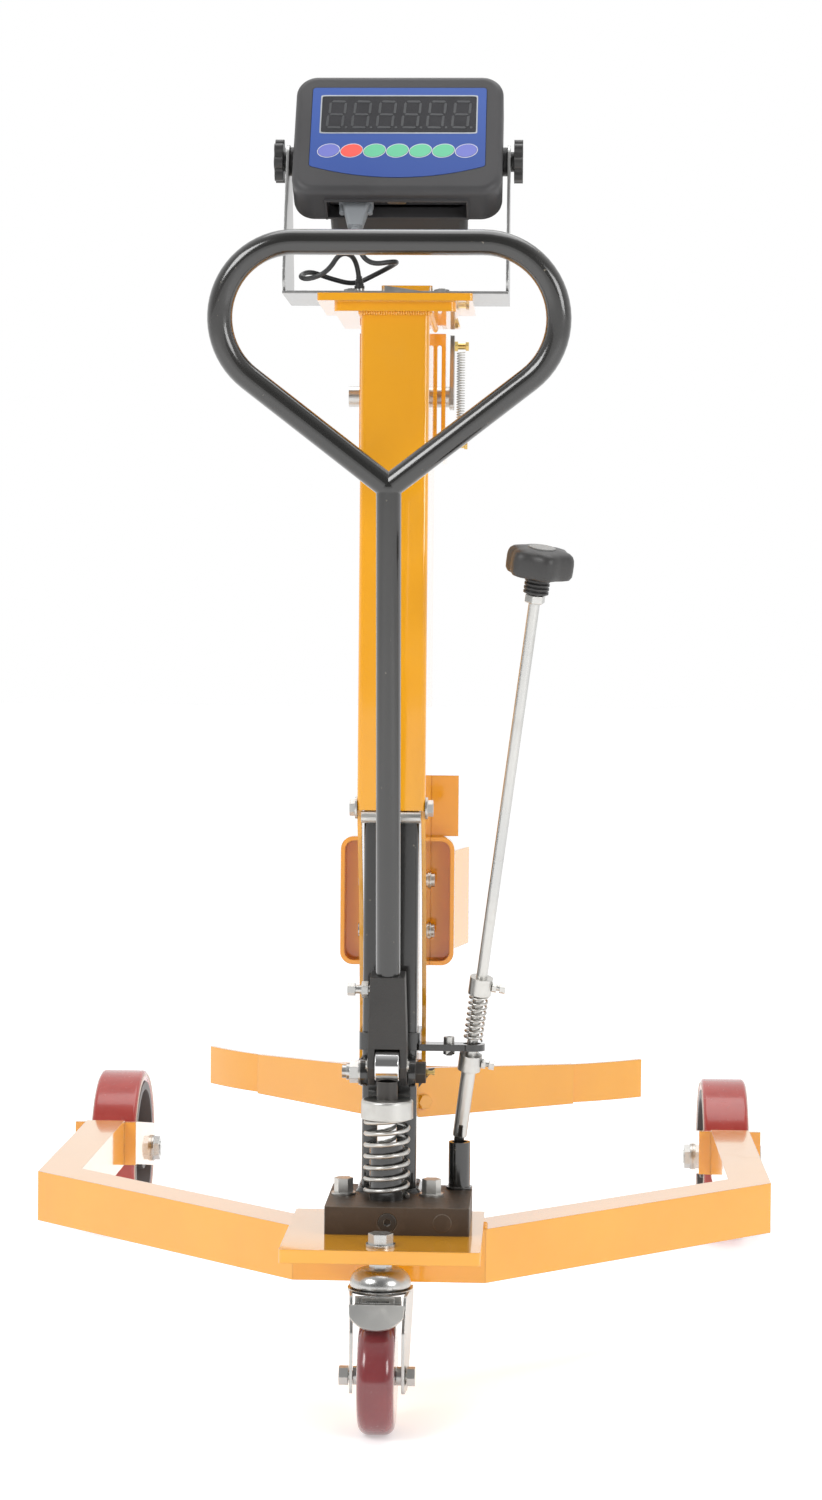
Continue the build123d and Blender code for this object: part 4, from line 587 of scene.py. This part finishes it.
# ---- the indicator's face: everything on it is placed from the tilt axis
def onFace(x, up, forward, lean=0.0):
    # the place of a piece drawn flat in X and Y, with Z out of the indicator's face
    spot = face["tiltAxis"] + faceNormal * forward + faceUp * up + Vector((x, 0, 0))
    axes = Matrix((
        (1, 0, 0, spot.x),
        (0, faceUp.y, faceNormal.y, spot.y),
        (0, faceUp.z, faceNormal.z, spot.z),
        (0, 0, 0, 1)))
    shear = Matrix.Identity(4)
    shear[0][1] = lean
    return axes @ shear


def flatShape(name, corners, thickness):
    # a thin printed shape: a disc with one corner for each point, moved there and given its depth
    clearPick()
    bpy.ops.mesh.primitive_circle_add(vertices=len(corners), radius=1, fill_type="NGON")
    piece = bpy.context.object
    piece.name = name
    for vertex, (x, y) in zip(piece.data.vertices, corners):
        vertex.co = (x, y, 0)
    bpy.ops.object.mode_set(mode="EDIT")
    bpy.ops.mesh.select_all(action="SELECT")
    bpy.ops.mesh.extrude_region_move(TRANSFORM_OT_translate={"value": (0, 0, thickness)})
    bpy.ops.mesh.select_all(action="SELECT")
    bpy.ops.mesh.normals_make_consistent(inside=False)
    bpy.ops.object.mode_set(mode="OBJECT")
    return piece


# six slanted seven-segment figures, unlit
digits = {"count": 6, "pitch": 0.0228, "width": 0.0150, "height": 0.0300, "bar": 0.0023,
          "lean": 0.12, "right": 0.0570, "dot": 0.0012, "dotAcross": 0.0092, "forward": 0.0300,
          "thickness": 0.0003}
halfBar = digits["bar"] / 2
halfWidth, quarterHeight = digits["width"] / 2, digits["height"] / 4
across = flatShape("segmentAcross", [
    (-halfWidth + halfBar, 0), (-halfWidth + 2 * halfBar, halfBar),
    (halfWidth - 2 * halfBar, halfBar), (halfWidth - halfBar, 0),
    (halfWidth - 2 * halfBar, -halfBar), (-halfWidth + 2 * halfBar, -halfBar)],
    digits["thickness"])
upward = flatShape("segmentUpward", [
    (0, -quarterHeight + halfBar), (halfBar, -quarterHeight + 2 * halfBar),
    (halfBar, quarterHeight - 2 * halfBar), (0, quarterHeight - halfBar),
    (-halfBar, quarterHeight - 2 * halfBar), (-halfBar, -quarterHeight + 2 * halfBar)],
    digits["thickness"])
barsOfFigure = []
sideways = halfWidth - halfBar / 2
for index in range(digits["count"]):
    middle = digits["right"] - digits["pitch"] * index
    figure = onFace(middle, face["displayUp"], digits["forward"], digits["lean"])
    for up in (-2 * quarterHeight, 0, 2 * quarterHeight):
        barsOfFigure.append(copyPiece(across, "bar", figure @ Matrix.Translation((0, up, 0))))
    for x in (-sideways, sideways):
        for up in (-quarterHeight, quarterHeight):
            barsOfFigure.append(copyPiece(upward, "bar", figure @ Matrix.Translation((x, up, 0))))
    dot = turnPiece("dot", [(digits["dot"], 0), (digits["dot"], digits["thickness"])], 16)
    dot.matrix_world = onFace(middle + digits["dotAcross"], face["displayUp"] - 2 * quarterHeight,
                              digits["forward"])
    barsOfFigure.append(dot)
bpy.data.objects.remove(across)
bpy.data.objects.remove(upward)
figures = joinPieces(barsOfFigure, "displayFigures")
dress(figures, materials["segment"], "indicator")


def ringOnFace(name, outer, inner, thickness, place, corner=0.0, sides=48):
    # a flat printed ring between two outlines, both given as (half width, half height)
    clearPick()
    bpy.ops.mesh.primitive_circle_add(vertices=sides, radius=1, fill_type="NGON")
    ring = bpy.context.object
    ring.name = name
    # a corner of 0 leaves an ellipse, and a large one squares it
    power = 2 / (2 + corner)
    for vertex in ring.data.vertices:
        x, y = vertex.co.x, vertex.co.y
        vertex.co = (math.copysign(abs(x) ** power, x) * outer[0],
                     math.copysign(abs(y) ** power, y) * outer[1], 0)
    bpy.ops.object.mode_set(mode="EDIT")
    bpy.ops.mesh.select_all(action="SELECT")
    bpy.ops.mesh.inset(thickness=1e-5)
    bpy.ops.transform.resize(value=(inner[0] / outer[0], inner[1] / outer[1], 1),
                             center_override=(0, 0, 0))
    bpy.ops.mesh.delete(type="FACE")
    bpy.ops.object.mode_set(mode="OBJECT")
    useModifier(ring, "SOLIDIFY", {"thickness": thickness, "offset": 1.0})
    ring.matrix_world = place
    return ring


keys = {"count": 7, "turn": math.radians(14), "ringOuter": (0.01045, 0.00770),
        "ringInner": (0.0100, 0.00725), "ringThickness": 0.0003}
keyTurn = Matrix.Rotation(keys["turn"], 4, "Z")
keyPlaces = [face["keyPitch"] * (index - keys["count"] // 2) for index in range(keys["count"])]
keyRings = []
for x in keyPlaces:
    keyRings.append(ringOnFace("ring", keys["ringOuter"], keys["ringInner"], keys["ringThickness"],
                               onFace(x, face["keyUp"], face["panelFront"]) @ keyTurn))
dress(joinPieces(keyRings, "keyOutlines"), materials["print_white"], "indicator")

border = ringOnFace("displayBorder", (0.0718, 0.0223), (0.0706, 0.0211), 0.0004,
                    onFace(0, face["displayUp"], 0.0301), corner=40.0, sides=160)
dress(settle(border), materials["frame_silver"], "indicator")

# plain line symbols on the keys, each a few strokes turned by so many degrees
symbol = {"halfLong": 0.0026, "halfThick": 0.00045, "depth": 0.0002, "above": 0.0001}
stroke = flatShape("stroke", [
    (-symbol["halfLong"], -symbol["halfThick"]), (symbol["halfLong"], -symbol["halfThick"]),
    (symbol["halfLong"], symbol["halfThick"]), (-symbol["halfLong"], symbol["halfThick"])],
    symbol["depth"])
strokesOfKeys = [(90,), (0, 90), (35, -35), (0,), (0, 60, -60), (45,), (90, 45)]
for number, (x, turns) in enumerate(zip(keyPlaces, strokesOfKeys), start=1):
    place = onFace(x, face["keyUp"], face["panelFront"] + symbol["above"])
    strokes = []
    for degrees in turns:
        strokes.append(copyPiece(stroke, "stroke",
                                 place @ Matrix.Rotation(math.radians(degrees), 4, "Z")))
    dress(joinPieces(strokes, f"keySymbol{number}"), materials["print_white"],
          f"key_{number}_button")
bpy.data.objects.remove(stroke)
print("indicator face drawn")


# ---- weld beads: one ripple copied along each seam
weld = {"width": 0.005, "step": 0.0022, "flat": 0.5, "drift": 0.00025, "driftTurn": 2.4}


def weldBead(name, foot, tip, body):
    clearPick()
    bpy.ops.mesh.primitive_uv_sphere_add(segments=10, ring_count=6, radius=weld["width"] / 2)
    ripple = bpy.context.object
    bpy.ops.object.mode_set(mode="EDIT")
    bpy.ops.mesh.select_all(action="SELECT")
    bpy.ops.transform.resize(value=(1.0, 1.0, weld["flat"]))
    bpy.ops.object.mode_set(mode="OBJECT")
    length = (Vector(tip) - Vector(foot)).length
    count = max(2, int(length / weld["step"]))
    place = aim(foot, tip)
    ripples = []
    for index in range(count + 1):
        drift = weld["drift"] * math.sin(index * weld["driftTurn"])
        ripples.append(copyPiece(ripple, "ripple", place @ Matrix.Translation(
            (drift, -drift, length * index / count))))
    bpy.data.objects.remove(ripple)
    bead = joinPieces(ripples, name)
    smooth(bead, 60)
    dress(bead, materials["weld"], body)


seams = {
    "weldHeadLeft": ((-0.031, -0.327, 0.9795), (-0.031, -0.180, 0.9795), "lift"),
    "weldHeadRight": ((0.031, -0.327, 0.9795), (0.031, -0.180, 0.9795), "lift"),
    "weldHeadBack": ((-0.030, -0.3283, 0.9795), (0.030, -0.3283, 0.9795), "lift"),
    "weldPlateUnder": ((-0.078, -0.2975, 0.1432), (0.078, -0.2975, 0.1432), "chassis"),
    "weldPlateLeft": ((-0.0878, -0.294, 0.1445), (-0.0878, -0.277, 0.1445), "chassis"),
    "weldPlateRight": ((0.0878, -0.294, 0.1445), (0.0878, -0.277, 0.1445), "chassis"),
}
for seamName, (foot, tip, body) in seams.items():
    weldBead(seamName, foot, tip, body)
print("welds laid")

# ---- jaw spring: a real coil in place of its plain sleeve
springLow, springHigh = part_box("jaw_spring")
springMiddle = (springLow + springHigh) / 2
jawCoil = {"wire": 0.0006, "turns": 34, "steps": 18}
coilRadius = (springHigh.x - springLow.x) / 2 - jawCoil["wire"]
clearPick()
bpy.ops.mesh.primitive_circle_add(vertices=8, radius=jawCoil["wire"], fill_type="NOTHING",
                                  location=(coilRadius, 0, 0),
                                  rotation=(math.pi / 2, 0, 0))
coil = bpy.context.object
coil.name = "jawSpringCoil"
bpy.ops.object.transform_apply(location=True, rotation=True, scale=True)
useModifier(coil, "SCREW", {
    "axis": "Z", "steps": jawCoil["steps"], "render_steps": jawCoil["steps"],
    "iterations": jawCoil["turns"], "angle": 2 * math.pi, "use_normal_calculate": True,
    "screw_offset": (springHigh.z - springLow.z) / jawCoil["turns"]})
settle(coil, Matrix.Translation((springMiddle.x, springMiddle.y, springLow.z)))
smooth(coil, 60)
dress(coil, materials["zinc"], "jaw")
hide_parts("jaw_spring")
print("jaw spring wound")

# ---- star knob on the release rod: lobed grip, ribbed neck, nut and blank cap
knob = {"foot": Vector((0.064, -0.293, 0.230)), "along": Vector((0.069, -0.112, 0.525)),
        "base": 0.5272, "radius": 0.0285, "lobes": 6, "lobeDepth": 0.065, "spin": 0.25,
        "ribs": 4, "ribPitch": 0.0036, "ribRadius": 0.0112, "grooveRadius": 0.0094}
knobAxis = knob["along"].normalized()
knobPlace = aim(knob["foot"] + knobAxis * knob["base"],
                knob["foot"] + knobAxis * (knob["base"] + 1), knob["spin"])
gripShares = [(0.40, 0.0), (0.80, 0.0), (0.93, 0.0012), (0.99, 0.0040), (1.0, 0.0080),
              (1.0, 0.0150), (0.985, 0.0185), (0.94, 0.0215), (0.85, 0.0236), (0.68, 0.0248),
              (0.44, 0.0255)]
knobGrip = turnPiece("knobGrip", [(knob["radius"] * wide, height) for wide, height in gripShares],
                     sides=120, lobes=knob["lobes"], lobeDepth=knob["lobeDepth"])
settle(knobGrip, knobPlace)
smooth(knobGrip, 40)
dress(knobGrip, materials["black_plastic"], "release")
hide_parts("star_knob")

neckProfile = [(0.0085, -0.0160)]
for rib in range(knob["ribs"]):
    low = -0.0150 + rib * knob["ribPitch"]
    neckProfile += [(knob["ribRadius"], low), (knob["ribRadius"], low + 0.0018),
                    (knob["grooveRadius"], low + 0.0022), (knob["grooveRadius"], low + 0.0032)]
neckProfile += [(knob["ribRadius"], 0.0002)]
knobNeck = turnPiece("knobNeck", neckProfile, sides=40)
settle(knobNeck, knobPlace)
smooth(knobNeck, 25)
dress(knobNeck, materials["black_plastic"], "release")

knobNut = turnPiece("knobNut", [(0.0080, -0.0240), (0.0092, -0.0232), (0.0092, -0.0168),
                                (0.0080, -0.0160)], sides=6, bevel=0.0004)
settle(knobNut, knobPlace)
dress(knobNut, materials["zinc"], "release")

knobCap = turnPiece("knobCap", [(0.0118, 0.0250), (0.0120, 0.0262), (0.0112, 0.0266),
                                (0.0090, 0.0264), (0.0050, 0.0264)], sides=48)
settle(knobCap, knobPlace)
smooth(knobCap, 25)
dress(knobCap, materials["knob_cap"], "release")
print("star knob made")


# ---- moulding lines on the wheels, and pale rings along the tyres' side edges that are painted highlights
wheels = {"frontX": 0.349, "frontY": 0.435, "frontZ": 0.090, "casterY": -0.475, "casterZ": 0.050,
          "highlightOut": 0.0243, "highlightRadius": 0.0853, "highlightThick": 0.0010, "lineInset": 0.0004,
          "lineThick": 0.0004, "widen": 1.6}


def wheelRing(name, middle, radius, thick, body, material):
    clearPick()
    bpy.ops.mesh.primitive_torus_add(major_radius=radius, minor_radius=thick, major_segments=120,
                                     minor_segments=10)
    ring = bpy.context.object
    ring.name = name
    bpy.ops.object.mode_set(mode="EDIT")
    bpy.ops.mesh.select_all(action="SELECT")
    bpy.ops.transform.resize(value=(1, 1, wheels["widen"]))
    bpy.ops.object.mode_set(mode="OBJECT")
    settle(ring, Matrix.Translation(middle) @ Matrix.Rotation(math.pi / 2, 4, "Y"))
    smooth(ring, 60)
    dress(ring, material, body)


wheelRing("casterMouldLine", (0, wheels["casterY"], wheels["casterZ"]),
          wheels["casterZ"] - wheels["lineInset"], wheels["lineThick"], "caster_roll",
          materials["caster_tyre"])
for sideName, side in (("left", -1), ("right", 1)):
    middleX = side * wheels["frontX"]
    wheelBody = f"{sideName}_front_wheel"
    for outward in (-1, 1):
        # each pale ring is a painted highlight along one side edge of the tyre
        highlightMiddle = (middleX + outward * wheels["highlightOut"], wheels["frontY"], wheels["frontZ"])
        wheelRing(f"{sideName}WheelHighlight{outward + 2}", highlightMiddle, wheels["highlightRadius"],
                  wheels["highlightThick"], wheelBody, materials["painted_tyre_highlight"])
    wheelRing(f"{sideName}WheelMouldLine", (middleX, wheels["frontY"], wheels["frontZ"]),
              wheels["frontZ"] - wheels["lineInset"], wheels["lineThick"], wheelBody,
              materials["red_tyre"])
print("wheel rings made")

# ---- floor and light
stageSetup = {"floorSize": 60.0, "floorColour": (0.80, 0.80, 0.80, 1), "floorRoughness": 0.9,
              "floorGlow": 0.42, "backdrop": 1.0, "behindCamera": 0.20, "dimFrom": -0.75,
              "brightFrom": 0.15, "lampsAimAt": Vector((0, -0.1, 0.55))}
clearPick()
bpy.ops.mesh.primitive_plane_add(size=stageSetup["floorSize"], location=(0, 0, 0))
floor = bpy.context.object
floor.name = "floor"
floorMaterial, floorShader = startFinish("floor")[:2]
feed(floorShader, "Base Color", stageSetup["floorColour"])
feed(floorShader, "Roughness", stageSetup["floorRoughness"])
feed(floorShader, "Emission Color", (1, 1, 1, 1))
feed(floorShader, "Emission Strength", stageSetup["floorGlow"])
floor.data.materials.append(floorMaterial)

# a white sweep behind the object and a dim room behind the camera
world = bpy.data.worlds.new("studio")
bpy.context.scene.world = world
world.use_nodes = True
room = Wire(world.node_tree)
toward = room.node("ShaderNodeTexCoord", output="Generated")
depth = room.node("ShaderNodeSeparateXYZ", {}, {"Vector": toward}, output=1)
share = spread(depth, stageSetup["dimFrom"], stageSetup["brightFrom"])
dim, bright = stageSetup["behindCamera"], stageSetup["backdrop"]
sky = mixColour(room, share, (dim, dim, dim, 1), (bright, bright, bright, 1))
world.node_tree.links.new(sky.socket, world.node_tree.nodes["Background"].inputs["Color"])

lamps = {
    "keyLamp": {"place": (-2.0, -2.6, 2.4), "size": 1.4, "power": 52},
    "fillLamp": {"place": (2.2, -2.4, 1.4), "size": 1.2, "power": 30},
    "topLamp": {"place": (0.2, 0.2, 3.2), "size": 2.2, "power": 30},
}
for lampName, lamp in lamps.items():
    light = bpy.data.lights.new(lampName, "AREA")
    light.energy = lamp["power"]
    light.size = lamp["size"]
    lampObject = bpy.data.objects.new(lampName, light)
    bpy.context.scene.collection.objects.link(lampObject)
    beam = stageSetup["lampsAimAt"] - Vector(lamp["place"])
    lampObject.matrix_world = (Matrix.Translation(lamp["place"])
                               @ beam.to_track_quat("-Z", "Y").to_matrix().to_4x4())
print("stage lit")
